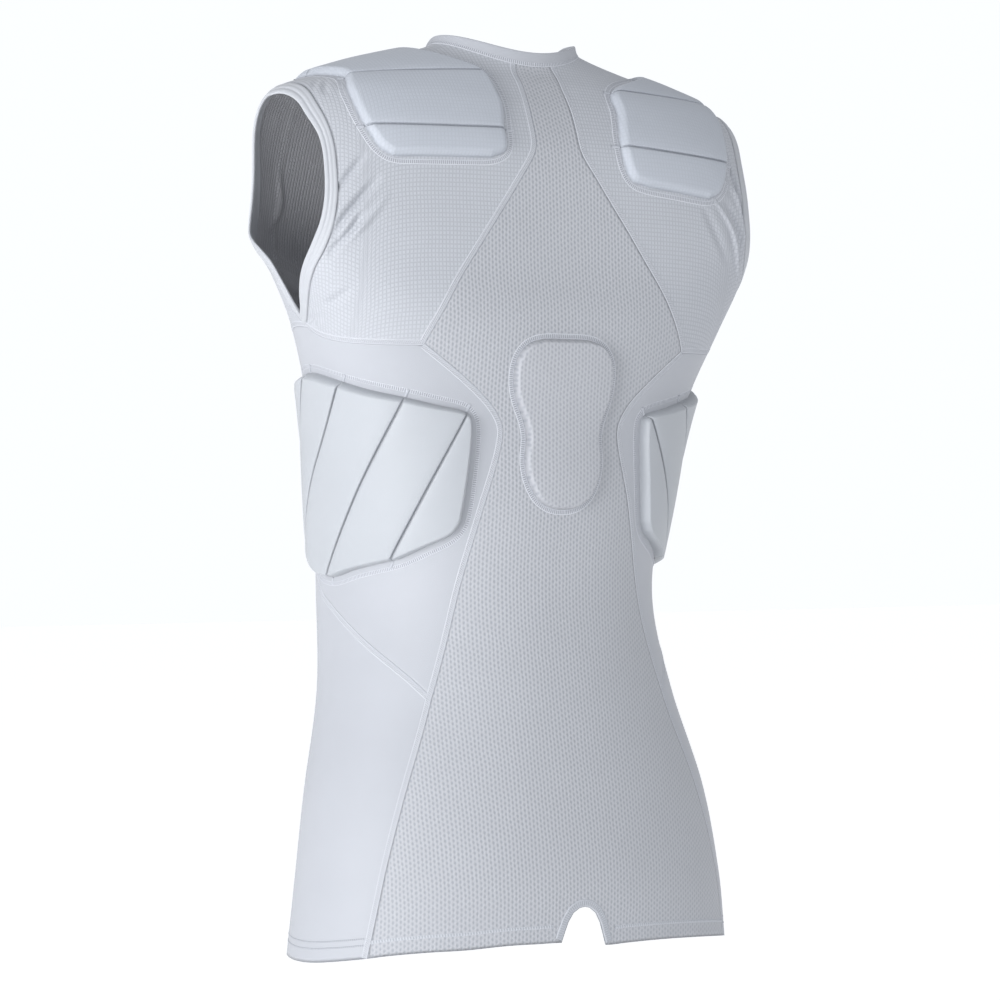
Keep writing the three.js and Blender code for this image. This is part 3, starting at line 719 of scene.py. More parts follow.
def new_material(name, roughness):
    material = bpy.data.materials.new(name)
    material.use_nodes = True
    shader = material.node_tree.nodes["Principled BSDF"]
    shader.inputs["Roughness"].default_value = roughness
    return material, material.node_tree, shader


def colour_of(red, green, blue):
    """Linear colour of screen values from 0 to 255."""
    def linear(value):
        value /= 255
        return value / 12.92 if value <= 0.04045 else ((value + 0.055) / 1.055) ** 2.4
    return (linear(red), linear(green), linear(blue), 1)


class Graph:
    """Short ways to add and join the nodes of one tree."""

    def __init__(self, tree):
        self.tree = tree

    def join(self, source, socket):
        if hasattr(source, "is_output"):
            self.tree.links.new(source, socket)
        else:
            socket.default_value = source

    def math(self, operation, *values):
        node = self.tree.nodes.new("ShaderNodeMath")
        node.operation = operation
        for k, value in enumerate(values):
            self.join(value, node.inputs[k])
        return node.outputs[0]

    def noise(self, vector, scale, detail=2.0):
        node = self.tree.nodes.new("ShaderNodeTexNoise")
        node.inputs["Scale"].default_value = scale
        node.inputs["Detail"].default_value = detail
        self.join(vector, node.inputs["Vector"])
        return node.outputs["Fac"]

    def smooth(self, value, low, high, start=0.0, end=1.0):
        node = self.tree.nodes.new("ShaderNodeMapRange")
        node.interpolation_type = "SMOOTHSTEP"
        for name, given in zip(
            ("Value", "From Min", "From Max", "To Min", "To Max"), (value, low, high, start, end)
        ):
            self.join(given, node.inputs[name])
        return node.outputs["Result"]

    def mix_colour(self, share, a, b):
        node = self.tree.nodes.new("ShaderNodeMix")
        node.data_type = "RGBA"
        self.join(share, node.inputs[0])
        self.join(a, node.inputs[6])
        self.join(b, node.inputs[7])
        return node.outputs[2]

    def split(self, vector):
        node = self.tree.nodes.new("ShaderNodeSeparateXYZ")
        self.join(vector, node.inputs[0])
        return node.outputs[0], node.outputs[1]

    def bump(self, height, distance, strength=1.0):
        node = self.tree.nodes.new("ShaderNodeBump")
        node.inputs["Distance"].default_value = distance
        node.inputs["Strength"].default_value = strength
        self.join(height, node.inputs["Height"])
        return node.outputs["Normal"]

    def group(self, tree, **values):
        node = self.tree.nodes.new("ShaderNodeGroup")
        node.node_tree = tree
        for name, value in values.items():
            self.join(value, node.inputs[name])
        return node.outputs

    def cloth_map(self):
        node = self.tree.nodes.new("ShaderNodeUVMap")
        node.uv_map = "cloth"
        return node.outputs["UV"]


def new_group(name, inputs, outputs):
    """An empty node group with a vector, named numbers in, and named numbers out."""
    tree = bpy.data.node_groups.new(name, "ShaderNodeTree")
    tree.interface.new_socket("Vector", in_out="INPUT", socket_type="NodeSocketVector")
    for socket in inputs:
        tree.interface.new_socket(socket, in_out="INPUT", socket_type="NodeSocketFloat")
    for socket in outputs:
        tree.interface.new_socket(socket, in_out="OUTPUT", socket_type="NodeSocketFloat")
    given = tree.nodes.new("NodeGroupInput").outputs
    taken = tree.nodes.new("NodeGroupOutput").inputs
    return tree, Graph(tree), given, taken


def swayed(graph, across, place, waves, reach):
    """Knit columns that wander a little from side to side."""
    sway = graph.math("SUBTRACT", graph.noise(place, waves, 1), 0.5)
    return graph.math("ADD", across, graph.math("MULTIPLY", sway, reach))


# How tall the mesh's holes are for their width, how strong the grid's rows are beside its
# columns, and how often and how far each knit's columns wander
HOLE_TALLNESS = 0.85
GRID_ROW_STRENGTH = 0.9
MESH_SWAY = (55, 0.0016)
GRID_SWAY = (60, 0.0012)


def honeycomb_group():
    """Staggered oval holes between soft yarn walls."""
    tree, graph, given, taken = new_group("honeycomb_knit", ("Column", "Row"), ("Hole", "Height"))
    across, up = graph.split(given["Vector"])
    across = swayed(graph, across, given["Vector"], *MESH_SWAY)
    across = graph.math("DIVIDE", across, given["Column"])
    up = graph.math("DIVIDE", up, given["Row"])
    column_wave = graph.math("COSINE", graph.math("MULTIPLY", across, math.pi))
    row_wave = graph.math("COSINE", graph.math("MULTIPLY", up, math.tau))
    double_wave = graph.math("COSINE", graph.math("MULTIPLY", across, math.tau))
    both = graph.math("MULTIPLY", column_wave, row_wave)
    lattice = graph.math("ADD", both, graph.math("MULTIPLY", double_wave, HOLE_TALLNESS))
    graph.join(graph.smooth(lattice, -0.5, 1.7), taken["Hole"])
    graph.join(graph.smooth(lattice, -1.0, 1.9, 1.0, 0.0), taken["Height"])
    return tree


def grid_group():
    """Square cells between sunk lines."""
    tree, graph, given, taken = new_group("grid_knit", ("Column", "Row"), ("Line", "Height"))
    across, up = graph.split(given["Vector"])
    across = swayed(graph, across, given["Vector"], *GRID_SWAY)
    across = graph.math("DIVIDE", across, given["Column"])
    up = graph.math("DIVIDE", up, given["Row"])
    column_wave = graph.math("COSINE", graph.math("MULTIPLY", across, math.tau))
    row_wave = graph.math("COSINE", graph.math("MULTIPLY", up, math.tau))
    columns = graph.smooth(column_wave, 0.1, 1.0)
    rows = graph.smooth(row_wave, 0.1, 1.0, 0.0, GRID_ROW_STRENGTH)
    line = graph.math("MAXIMUM", columns, rows)
    graph.join(line, taken["Line"])
    graph.join(graph.math("SUBTRACT", 1.0, line), taken["Height"])
    return tree


def fibre_group():
    """Fine yarn fuzz, and the slow unevenness of knit cloth."""
    tree, graph, given, taken = new_group("fibre", ("Fuzz", "Patch"), ("Tone", "Height"))
    fuzz = graph.noise(given["Vector"], 1400, 3)
    patch = graph.noise(given["Vector"], 22, 2)
    fuzz_share = graph.math("MULTIPLY", graph.math("SUBTRACT", fuzz, 0.5), given["Fuzz"])
    patch_share = graph.math("MULTIPLY", graph.math("SUBTRACT", patch, 0.5), given["Patch"])
    tone = graph.math("ADD", graph.math("ADD", fuzz_share, patch_share), 0.5)
    graph.join(tone, taken["Tone"])
    graph.join(fuzz, taken["Height"])
    return tree


def stitch_group():
    """A thread along each side of a seam, and threads that cross between them."""
    tree, graph, given, taken = new_group(
        "stitches", ("Width", "Pitch", "Lean", "Rail"), ("Gap", "Height")
    )
    across, along = graph.split(given["Vector"])
    leaning = graph.math("ADD", along, graph.math("MULTIPLY", across, given["Lean"]))
    turns = graph.math("DIVIDE", leaning, given["Pitch"])
    wave = graph.math("COSINE", graph.math("MULTIPLY", turns, math.tau))
    ticks = graph.smooth(wave, -0.5, 0.5)
    away = graph.math("DIVIDE", graph.math("ABSOLUTE", across), given["Width"])
    rails = graph.math("MULTIPLY", graph.smooth(away, 0.26, 0.34), given["Rail"])
    thread = graph.math("MAXIMUM", ticks, rails)
    graph.join(graph.math("SUBTRACT", 1.0, thread), taken["Gap"])
    graph.join(thread, taken["Height"])
    return tree


def seam_dip_and_shade_group():
    """The dip where cloth meets its seam, and painted shade darkening its colour there."""
    tree, graph, given, taken = new_group("seam_dip", ("Border", "Width"), ("Shade", "Height"))
    share = graph.math("DIVIDE", given["Border"], given["Width"])
    graph.join(graph.smooth(share, 0.2, 1.0, 1.0, 0.0), taken["Shade"])
    graph.join(graph.smooth(share, 0.0, 1.3, 0.0, 0.7), taken["Height"])
    return tree


HONEYCOMB = honeycomb_group()
GRID = grid_group()
FIBRE = fibre_group()
STITCHES = stitch_group()
SEAM_DIP_AND_SHADE = seam_dip_and_shade_group()

# Spacing of the knits' columns and rows
MESH_COLUMN, MESH_ROW = 3.1 * MM, 4.2 * MM
GRID_COLUMN, GRID_ROW = 3.0 * MM, 3.4 * MM

# How wide the dip along a seam is and how dark its painted shade is, and the painted shade's colour
CLOTH_DIP_AND_SHADE = (2.0 * MM, 0.45)
PAD_DIP_AND_SHADE = (1.2 * MM, 0.24)
PAINTED_SHADE_COLOUR = (96, 100, 108)


def finish_cloth(graph, shader, colour, height, depth, dip):
    """Joins a cloth's colour and relief to its shader, with the dip and painted shade along its
    seams.
    """
    if dip is None:
        graph.join(colour, shader.inputs["Base Color"])
        graph.join(graph.bump(height, depth), shader.inputs["Normal"])
        return
    width, painted_darkness = dip
    border = graph.tree.nodes.new("ShaderNodeAttribute")
    border.attribute_name = "border"
    seam = graph.group(
        SEAM_DIP_AND_SHADE, Vector=graph.cloth_map(), Border=border.outputs["Fac"], Width=width
    )
    # Painted shade: the colour is darkened towards the shade colour near the cloth's seams
    shade = graph.math("MULTIPLY", seam["Shade"], painted_darkness)
    shaded = graph.mix_colour(shade, colour, colour_of(*PAINTED_SHADE_COLOUR))
    graph.join(shaded, shader.inputs["Base Color"])
    whole = graph.math("ADD", graph.math("MULTIPLY", height, depth / MM), seam["Height"])
    graph.join(graph.bump(whole, MM), shader.inputs["Normal"])


def shaded_cloth(graph, fibre, light, share=0.95):
    """A yarn's colour with its slow and fine unevenness."""
    dark = tuple(share * value for value in light)
    return graph.mix_colour(fibre["Tone"], colour_of(*dark), colour_of(*light))


KNIT_SHEEN = 0.12
PLAIN_SHEEN = 0.15


def mesh_material(name, yarn, hole, depth, dip=CLOTH_DIP_AND_SHADE):
    """Honeycomb mesh knit, its holes darker than its yarn."""
    material, tree, shader = new_material(name, 0.72)
    graph = Graph(tree)
    place = graph.cloth_map()
    knit = graph.group(HONEYCOMB, Vector=place, Column=MESH_COLUMN, Row=MESH_ROW)
    fibre = graph.group(FIBRE, Vector=place, Fuzz=0.9, Patch=0.5)
    colour = graph.mix_colour(knit["Hole"], shaded_cloth(graph, fibre, yarn), colour_of(*hole))
    height = graph.math("ADD", knit["Height"], graph.math("MULTIPLY", fibre["Height"], 0.15))
    shader.inputs["Sheen Weight"].default_value = KNIT_SHEEN
    finish_cloth(graph, shader, colour, height, depth, dip)
    return material


def grid_material(name, yarn, line, share, depth, dip=CLOTH_DIP_AND_SHADE):
    """Fine grid knit with sunk, darker lines."""
    material, tree, shader = new_material(name, 0.68)
    graph = Graph(tree)
    place = graph.cloth_map()
    knit = graph.group(GRID, Vector=place, Column=GRID_COLUMN, Row=GRID_ROW)
    fibre = graph.group(FIBRE, Vector=place, Fuzz=0.8, Patch=0.5)
    shade = graph.math("MULTIPLY", knit["Line"], share)
    colour = graph.mix_colour(shade, shaded_cloth(graph, fibre, yarn), colour_of(*line))
    height = graph.math("ADD", knit["Height"], graph.math("MULTIPLY", fibre["Height"], 0.2))
    shader.inputs["Sheen Weight"].default_value = KNIT_SHEEN
    finish_cloth(graph, shader, colour, height, depth, dip)
    return material


def plain_material(name, yarn, roughness=0.6, dip=CLOTH_DIP_AND_SHADE):
    """Smooth stretch knit."""
    material, tree, shader = new_material(name, roughness)
    graph = Graph(tree)
    fibre = graph.group(FIBRE, Vector=graph.cloth_map(), Fuzz=0.5, Patch=0.5)
    colour = shaded_cloth(graph, fibre, yarn)
    shader.inputs["Sheen Weight"].default_value = PLAIN_SHEEN
    finish_cloth(graph, shader, colour, fibre["Height"], 0.1 * MM, dip)
    return material


def stitch_material(name, thread, gap, width, pitch, lean=0.0, rail=1.0, depth=0.3):
    """A row of stitches: its width, its pitch and its relief in millimetres."""
    material, tree, shader = new_material(name, 0.65)
    graph = Graph(tree)
    stitches = graph.group(
        STITCHES, Vector=graph.cloth_map(), Width=width * MM, Pitch=pitch * MM, Lean=lean, Rail=rail
    )
    colour = graph.mix_colour(stitches["Gap"], colour_of(*thread), colour_of(*gap))
    graph.join(colour, shader.inputs["Base Color"])
    graph.join(graph.bump(stitches["Height"], depth * MM), shader.inputs["Normal"])
    return material


# Yarn, hole, line, thread and gap colours are screen values from 0 to 255
# The cloths paint shade along their seams; the cloths over pads paint a narrower shade at the pads'
# foot and channels, and the trims none
HONEYCOMB_KNIT = mesh_material("honeycomb_knit", (172, 174, 180), (150, 154, 161), 0.3 * MM)
HONEYCOMB_PAD = mesh_material(
    "honeycomb_over_pad", (172, 174, 180), (152, 155, 162), 0.22 * MM, dip=PAD_DIP_AND_SHADE
)
GRID_KNIT = grid_material("grid_knit", (179, 182, 189), (138, 142, 149), 0.42, 0.12 * MM)
GRID_PAD = grid_material(
    "grid_over_pad", (175, 180, 189), (145, 150, 157), 0.2, 0.06 * MM, dip=PAD_DIP_AND_SHADE
)
PLAIN_KNIT = plain_material("plain_knit", (169, 172, 179))
PLAIN_PAD = plain_material("plain_over_pad", (168, 172, 178), roughness=0.55, dip=PAD_DIP_AND_SHADE)
TRIM_KNIT = plain_material("trim_knit", (176, 179, 185), dip=None)
NECK_KNIT = plain_material("neck_knit", (168, 171, 178), dip=None)
INSIDE_KNIT = grid_material("knit_wrong_side", (186, 187, 192), (136, 137, 142), 0.5, 0.2 * MM)
SEAM_THREAD = stitch_material("seam_thread", (183, 186, 193), (168, 171, 178), 4.6, 1.6, lean=0.5)
PAD_THREAD = stitch_material("pad_thread", (190, 193, 200), (152, 155, 163), 4.4, 1.7)
TACK_THREAD = stitch_material(
    "tack_thread", (187, 190, 197), (164, 168, 176), 2.2, 0.8, lean=0.3, rail=0.0, depth=0.1
)
NOTCH_THREAD = stitch_material(
    "notch_thread", (170, 173, 180), (156, 160, 167), 6.0, 1.8, depth=0.15
)
RIDGE_THREAD = stitch_material(
    "ridge_thread", (181, 184, 191), (158, 162, 169), 3.0, 2.2, rail=0.6, depth=0.15
)
HEM_THREAD = stitch_material("hem_thread", (180, 183, 190), (140, 144, 152), 1.6, 1.8, rail=0.0)


def slid(places, distance, closed=False, step=1.5):
    """A line of places moved sideways along the cloth, to the right of its way, in mm."""
    places = np.array(places, float)
    count = max(int(abs(distance) / step), 1)
    for _ in range(count):
        points = body_point(places)
        along = np.gradient(points, axis=0)
        if closed:
            along = np.roll(points, -1, axis=0) - np.roll(points, 1, axis=0)
        side = unit(np.cross(unit(along), outward(places)))
        turned = body_point(places + (0.5, 0)) - body_point(places - (0.5, 0))
        risen = body_point(places + (0, 0.5)) - body_point(places - (0, 0.5))
        aa, ab, bb = (turned * turned).sum(-1), (turned * risen).sum(-1), (risen * risen).sum(-1)
        move = side * distance * MM / count
        ma, mb = (turned * move).sum(-1), (risen * move).sum(-1)
        whole = aa * bb - ab**2
        places += np.stack([(bb * ma - ab * mb) / whole, (aa * mb - ab * ma) / whole], -1)
    return places


def evenly(places, spacing, closed=False):
    """The same line of places with a point every few millimetres of cloth."""
    places = np.asarray(places, float)
    if closed:
        places = np.concatenate([places, places[:1]])
    run = np.linalg.norm(np.diff(body_point(places), axis=0), axis=1) / MM
    run = np.concatenate([[0], np.cumsum(run)])
    at = np.linspace(0, run[-1], max(int(run[-1] / spacing), 6) + 1)
    if closed:
        at = at[:-1]
    return np.stack([np.interp(at, run, places[:, k]) for k in (0, 1)], -1)


def rounded(places, times=6):
    """A closed line of places with its corners eased."""
    for _ in range(times):
        places = (np.roll(places, 1, axis=0) + 2 * places + np.roll(places, -1, axis=0)) / 4
    return places


def twin_ridge(across):
    """Height shares over a seam: two soft ridges with a shallow groove between."""
    edge = np.maximum(1 - across**2, 0) ** 0.75
    return np.minimum(1, 1.35 * edge) - 0.5 * np.exp(-((across / 0.24) ** 2))


def soft_ridge(across):
    """Height shares over a fold: one low rounded ridge."""
    return np.cos(np.pi / 2 * across) ** 1.5


def flat_stitch(across):
    """Height shares over a flat row of stitches."""
    return np.minimum(1, 2 * np.maximum(1 - across**2, 0) ** 0.75)


RIBBON_SUNK = 0.12


def add_ribbon(name, places, size, material, shape=twin_ridge, closed=False, sides=9):
    """A raised row of stitching that follows the cloth; its size is its width and height."""
    width, height = size
    base, normal = body_point(places), outward(places)
    along = np.gradient(base, axis=0)
    if closed:
        along = np.roll(base, -1, axis=0) - np.roll(base, 1, axis=0)
        base, normal, along = (np.concatenate([x, x[:1]]) for x in (base, normal, along))
    side = unit(np.cross(unit(along), normal))
    across = np.sin(np.linspace(-np.pi / 2, np.pi / 2, sides))
    lift = (shape(across) * height - RIBBON_SUNK) * MM
    points = (
        base[:, None]
        + side[:, None] * (across * width * MM / 2)[None, :, None]
        + normal[:, None] * lift[None, :, None]
    )
    run = run_along(base)
    uv = np.stack(np.broadcast_arrays(across[None] * width * MM / 2, run[:, None]), -1)
    mesh = grid_mesh(name, points, uv)
    face_out(mesh, (points.reshape(-1, 3), np.repeat(normal, sides, axis=0)))
    piece = new_object(name, mesh, material)
    return finish_piece(piece, "trim_knit")


def add_band(name, node, lines, section, slot, material):
    """A bound edge: a rounded section carried along between its seam and its open edge."""
    outer, inner = lines
    shares = np.array([s for s, _ in section])[None, :, None]
    lift = np.array([h for _, h in section])[None, :, None] * MM
    places = mix(outer[:, None], inner[:, None], shares)
    points = body_point(places) + outward(places) * lift
    girth, run = run_along(points[0]), run_along(body_point(outer))
    uv = np.stack(np.broadcast_arrays(girth[None], run[:, None]), -1)
    mesh = grid_mesh(name, points, uv, closed=True)
    piece = new_object(name, mesh, material)
    finish_piece(piece, slot, node)
    return piece


# Sections of the bound edges: share of the way from the seam to the open edge, and
# millimetres out of the cloth
BINDING_SECTION = (
    (0.02, -0.9), (0.02, -0.3), (0.07, 0.5), (0.14, 0.85), (0.24, 0.9), (0.31, 0.55), (0.37, 0.85),
    (0.46, 0.95), (0.54, 0.8), (0.59, 0.2), (0.64, 0.2), (0.7, 0.75), (0.8, 0.85), (0.9, 0.8),
    (0.98, 0.4), (1.02, -0.1), (1.02, -0.8), (0.97, -1.4), (0.85, -1.7), (0.5, -1.8), (0.24, -1.8),
    (0.15, -2.1), (0.08, -2.1), (0.03, -1.7), (0.02, -0.9),
)
NECK_SECTION = (
    (0.0, -0.6), (0.0, 0.1), (0.08, 0.5), (0.3, 0.6), (0.6, 0.6), (0.85, 0.55), (0.97, 0.3),
    (1.02, -0.2), (1.02, -0.8), (0.97, -1.2), (0.8, -1.4), (0.4, -1.4), (0.08, -1.2), (0.0, -0.6),
)


def armhole_loop(line):
    """The whole way round an armhole, along the binding's seam or its open edge."""
    back = places_along(ARMHOLE_BACK[line], ARMHOLE_SEGMENTS["back"])
    front = places_along(ARMHOLE_FRONT[line], ARMHOLE_SEGMENTS["front"])
    return np.concatenate([back, front[::-1][1:]])


def pad_ends(rows, at):
    """The near and far ends of a pad's rows, at row numbers that needn't be whole."""
    numbers = np.arange(len(rows["from"]))
    return [
        np.stack([smooth_read(numbers, np.array(rows[end])[:, c], at) for c in (0, 1)], -1)
        for end in ("from", "to")
    ]


PLACES_PER_ROW = 20
PLACES_ACROSS = 40


def pad_outline(rows, side=1, spacing=2.0):
    """The pad's closed outline, with a place every few millimetres."""
    last = len(rows["from"]) - 1
    near, far = pad_ends(rows, np.linspace(0, last, PLACES_PER_ROW * last + 1))
    across = np.linspace(0, 1, PLACES_ACROSS)[:, None]
    line = np.concatenate(
        [near, mix(near[-1], far[-1], across), far[::-1], mix(far[0], near[0], across)]
    )
    return evenly(line * (side, 1), spacing, closed=True)


# Extra rows beside each channel, as shares of a row, and how clear of them the others stay
CHANNEL_STEPS = (
    -0.26, -0.18, -0.12, -0.07, -0.042, -0.024, -0.012, 0, 0.012, 0.024, 0.042, 0.07, 0.12, 0.18,
    0.26,
)
CLEAR_OF_CHANNEL = 0.03


def crowded_to_ends(segments, evenness):
    """Shares from 0 to 1 that lie closer together near both ends."""
    crowded = 0.5 - 0.5 * np.cos(np.pi * np.linspace(0, 1, segments + 1))
    return mix(crowded, np.linspace(0, 1, segments + 1), evenness)


def pad_rows(rows, foam):
    """Rows along the pad, closer together at its two ends and beside each channel."""
    last = len(rows["from"]) - 1
    at = last * crowded_to_ends(foam["lines"][0], 0.55)
    sewn = [row + step for row in rows["channels"] for step in CHANNEL_STEPS]
    at = at[[min([abs(a - b) for b in sewn], default=1) > CLEAR_OF_CHANNEL for a in at]]
    return np.sort(np.concatenate([at, sewn]))


# Millimetres: how far in from its edge a pad's crown rises, how wide a channel's stitched
# groove and the roll beside it are, and how deep the pad's rim and underside sit in the cloth
CROWN_REACH = 16
GROOVE_WIDTH = 0.65
ROLL_WIDTH = 3.2
RIM_SUNK = 0.2
UNDERSIDE_SUNK = 0.6
# The dip and its painted shade along a channel are narrower than along the pad's edge by this
CHANNEL_DIP_AND_SHADE_SHARE = 1.25


def add_pad(name, node, rows, foam, slot, material, side=1, cloth_map=None):
    """Foam under cloth: a sloping wall, a crowned top, and channels sewn down into it."""
    k = pad_rows(rows, foam)
    s = crowded_to_ends(foam["lines"][1], 0.4)
    near, far = pad_ends(rows, k)
    places = mix(near[:, None], far[:, None], s[None, :, None]) * (side, 1)
    base = body_point(places)
    outline = body_point(pad_outline(rows, side, 1.0))
    edge, _ = distance_to_line(base, np.concatenate([outline, outline[:1]]))
    edge /= MM
    wall = 1 - np.maximum(1 - edge / foam["slope"], 0) ** foam["bow"]
    height = foam["full"] * wall + foam["crown"] * (1 - np.exp(-edge / CROWN_REACH))
    # The distance to the pad's edge and its channels lets the pad's material paint shade at the
    # foot of its wall and along each channel
    to_seam = edge.copy()
    for row in rows["channels"]:
        line = base[int(np.argmin(np.abs(k - row)))]
        away, _ = distance_to_line(base, line)
        away /= MM
        sewn = foam["groove"] * np.exp(-((away / GROOVE_WIDTH) ** 2))
        height -= wall * (sewn + foam["roll"] * np.exp(-away / ROLL_WIDTH))
        to_seam = np.minimum(to_seam, CHANNEL_DIP_AND_SHADE_SHARE * away)
    normals = outward(places)
    top = base + normals * ((height - RIM_SUNK) * MM)[..., None]
    mesh = grid_mesh(name, top, (cloth_map or cloth_lengths)(places), to_seam * MM)
    close_underneath(mesh, (base - normals * UNDERSIDE_SUNK * MM).reshape(-1, 3))
    piece = new_object(name, mesh, material)
    finish_piece(piece, slot, node)
    return piece


def close_underneath(mesh, under):
    """Closes the pad with an underside that lies just in the cloth."""
    bm = bmesh.new()
    bm.from_mesh(mesh)
    bm.verts.index_update()
    tops = list(bm.verts)
    rim = [edge for edge in bm.edges if edge.is_boundary]
    copied = bmesh.ops.duplicate(bm, geom=list(bm.verts) + list(bm.faces))["vert_map"]
    for number, vert in enumerate(tops):
        copied[vert].co = under[number]
    for edge in rim:
        a, b = edge.verts
        bm.faces.new((a, b, copied[b], copied[a])).smooth = True
    bmesh.ops.recalc_face_normals(bm, faces=bm.faces)
    bm.to_mesh(mesh)
    bm.free()


# Each pad's foam in millimetres: its full height, the width of its sloping wall, the wall's
# bow, the crown, the channels' groove and roll; then its fill, and lines along and across
RIB_FOAM = {
    "full": 8.6, "slope": 2.6, "bow": 1.6, "crown": 1.5, "groove": 1.5, "roll": 1.3, "fill": 0.85,
    "lines": (90, 76),
}
SPINE_FOAM = {
    "full": 6.4, "slope": 2.5, "bow": 1.8, "crown": 1.5, "groove": 0, "roll": 0, "fill": 0.85,
    "lines": (120, 60),
}
SHOULDER_FOAM = {
    "full": 5.8, "slope": 6.0, "bow": 1.9, "crown": 1.0, "groove": 1.5, "roll": 0.8, "fill": 0.8,
    "lines": (100, 76),
}


# A pad's ring of stitching: the distance between its points, and how often its corners are
# eased. A tack starts just inside the pad and ends just past the ring.
RING_SPACING = 2.0
RING_EASED = 10
TACK_START = 0.5
TACK_PAST_RING = 1.5
TACK_POINTS = 9

# Widths and heights of the raised stitching, in millimetres
SEAM_RIBBON = (4.6, 0.45)
RING_HEIGHT = 0.28
TACK_RIBBON = (2.2, 0.8)
HEM_RIBBON = (1.3, 0.35)
RIDGE_RIBBON = (3.0, 0.7)
NOTCH_RIBBON = (6.0, 0.6)
NECK_RIBBON = (4.4, 0.7)


def add_pad_stitching(name, rows, side, gap, width, tacks=True):
    """The stitched ring round a pad, and the small tacks at the ends of its channels."""
    ring = slid(rounded(pad_outline(rows, side)), gap * side, closed=True)
    ring = rounded(evenly(ring, RING_SPACING, closed=True), RING_EASED)
    names = [f"{name}_ring"]
    add_ribbon(names[0], ring, (width, RING_HEIGHT), PAD_THREAD, flat_stitch, closed=True)
    if not tacks:
        return names
    for number, row in enumerate(rows["channels"]):
        near, far = pad_ends(rows, np.array([row - 0.01, row + 0.01]))
        for end, inner, outer in (("a", near, far), ("b", far, near)):
            way = unit((inner - outer)[0] * (MM_PER_DEGREE, 1)) / (MM_PER_DEGREE, 1)
            reach = np.linspace(TACK_START, gap + TACK_PAST_RING, TACK_POINTS)[:, None]
            line = (inner[0] + way * reach) * (side, 1)
            tack = f"{name}_tack_{number}{end}"
            add_ribbon(tack, line, TACK_RIBBON, TACK_THREAD, flat_stitch, sides=7)
            names.append(tack)
    return names


def both_sides(outside):
    """A cloth's right and wrong side."""
    return (outside, INSIDE_KNIT)


# How far each seam's stitching lies to the right of its way, on the wearer's left
SEAM_SHIFTS = (
    ("hip", -2.0), ("waist", -2.0), ("spine", -2.0), ("back_yoke", 1.0), ("front_yoke", 1.0),
    ("diagonal", -1.2), ("front", 0.0), ("shoulder", 0.0),
)
SEAM_SPACING = 2.2


def add_seam_stitching(side, way):
    """Raised stitching along the seams of one side, laid just beside each seam."""
    names = []
    for seam, shift in SEAM_SHIFTS:
        line = evenly(slid(SEAMS[seam] * (way, 1), shift * way), SEAM_SPACING)
        names.append(f"{seam}_stitching_{side}")
        add_ribbon(names[-1], line, SEAM_RIBBON, SEAM_THREAD)
    return names


# How far above the hem its stitching runs, on the plain front and on the mesh
HEM_LINES_PLAIN = (11.2, 16.5)
HEM_LINE_MESH = 13
# Degrees from the hip seam, for the plain front and the mesh, and from the notch, where the
# hem's stitching stops
CLEAR_OF_HIP_SEAM = (1.4, -0.6)
CLEAR_OF_NOTCH = 2.4
HEM_TURN_STEP = 0.8
HEM_MEASURED_UP = 60.0
# Where the notch's facing starts, and how far beside the notch's edge its middle lies
FACING_START = (5.95, 2)
FACING_SHIFT = 3.3
FACING_SPACING = 1.5


def hem_places(first, last, above):
    """A line of places round the hem, a few millimetres of cloth above it."""
    turns = np.linspace(first, last, int(abs(last - first) / HEM_TURN_STEP))
    low = cloth_lengths(np.stack([turns, np.zeros_like(turns)], -1))[..., 1]
    high = cloth_lengths(np.stack([turns, np.full_like(turns, HEM_MEASURED_UP)], -1))[..., 1]
    return np.stack([turns, HEM_MEASURED_UP * above * MM / (high - low)], -1)


def add_front_hem_stitching():
    """Two fine rows of stitching round the plain part of the hem."""
    corner = HEM_CORNER[0] + CLEAR_OF_HIP_SEAM[0]
    names = []
    for number, above in enumerate(HEM_LINES_PLAIN):
        names.append(f"hem_stitching_front_{number}")
        line = hem_places(corner, 360 - corner, above)
        add_ribbon(names[-1], line, HEM_RIBBON, HEM_THREAD, flat_stitch, sides=5)
    return names


def add_mesh_hem_stitching():
    """The ridge of the mesh's turned hem on each side of the notch, and the notch's facing."""
    notch, corner = HEM_NOTCH[0][0] + CLEAR_OF_NOTCH, HEM_CORNER[0] + CLEAR_OF_HIP_SEAM[1]
    names = []
    for side, way in (("left", 1), ("right", -1)):
        names.append(f"hem_stitching_{side}")
        line = hem_places(notch * way, corner * way, HEM_LINE_MESH)
        add_ribbon(names[-1], line, RIDGE_RIBBON, RIDGE_THREAD, soft_ridge)
    half = np.array((FACING_START, *HEM_NOTCH[1:]))
    edge = evenly(np.concatenate([half * (-1, 1), half[::-1][1:]]), FACING_SPACING)
    names.append("notch_facing")
    add_ribbon(names[-1], slid(edge, FACING_SHIFT), NOTCH_RIBBON, NOTCH_THREAD, flat_stitch)
    return names


# How far outside a pad its ring of stitching runs, and how wide the ring is
SPINE_RING = (2.6, 4.4)
RIB_RING = (5.6, 3.6)
SHOULDER_RING = (4.0, 4.4)


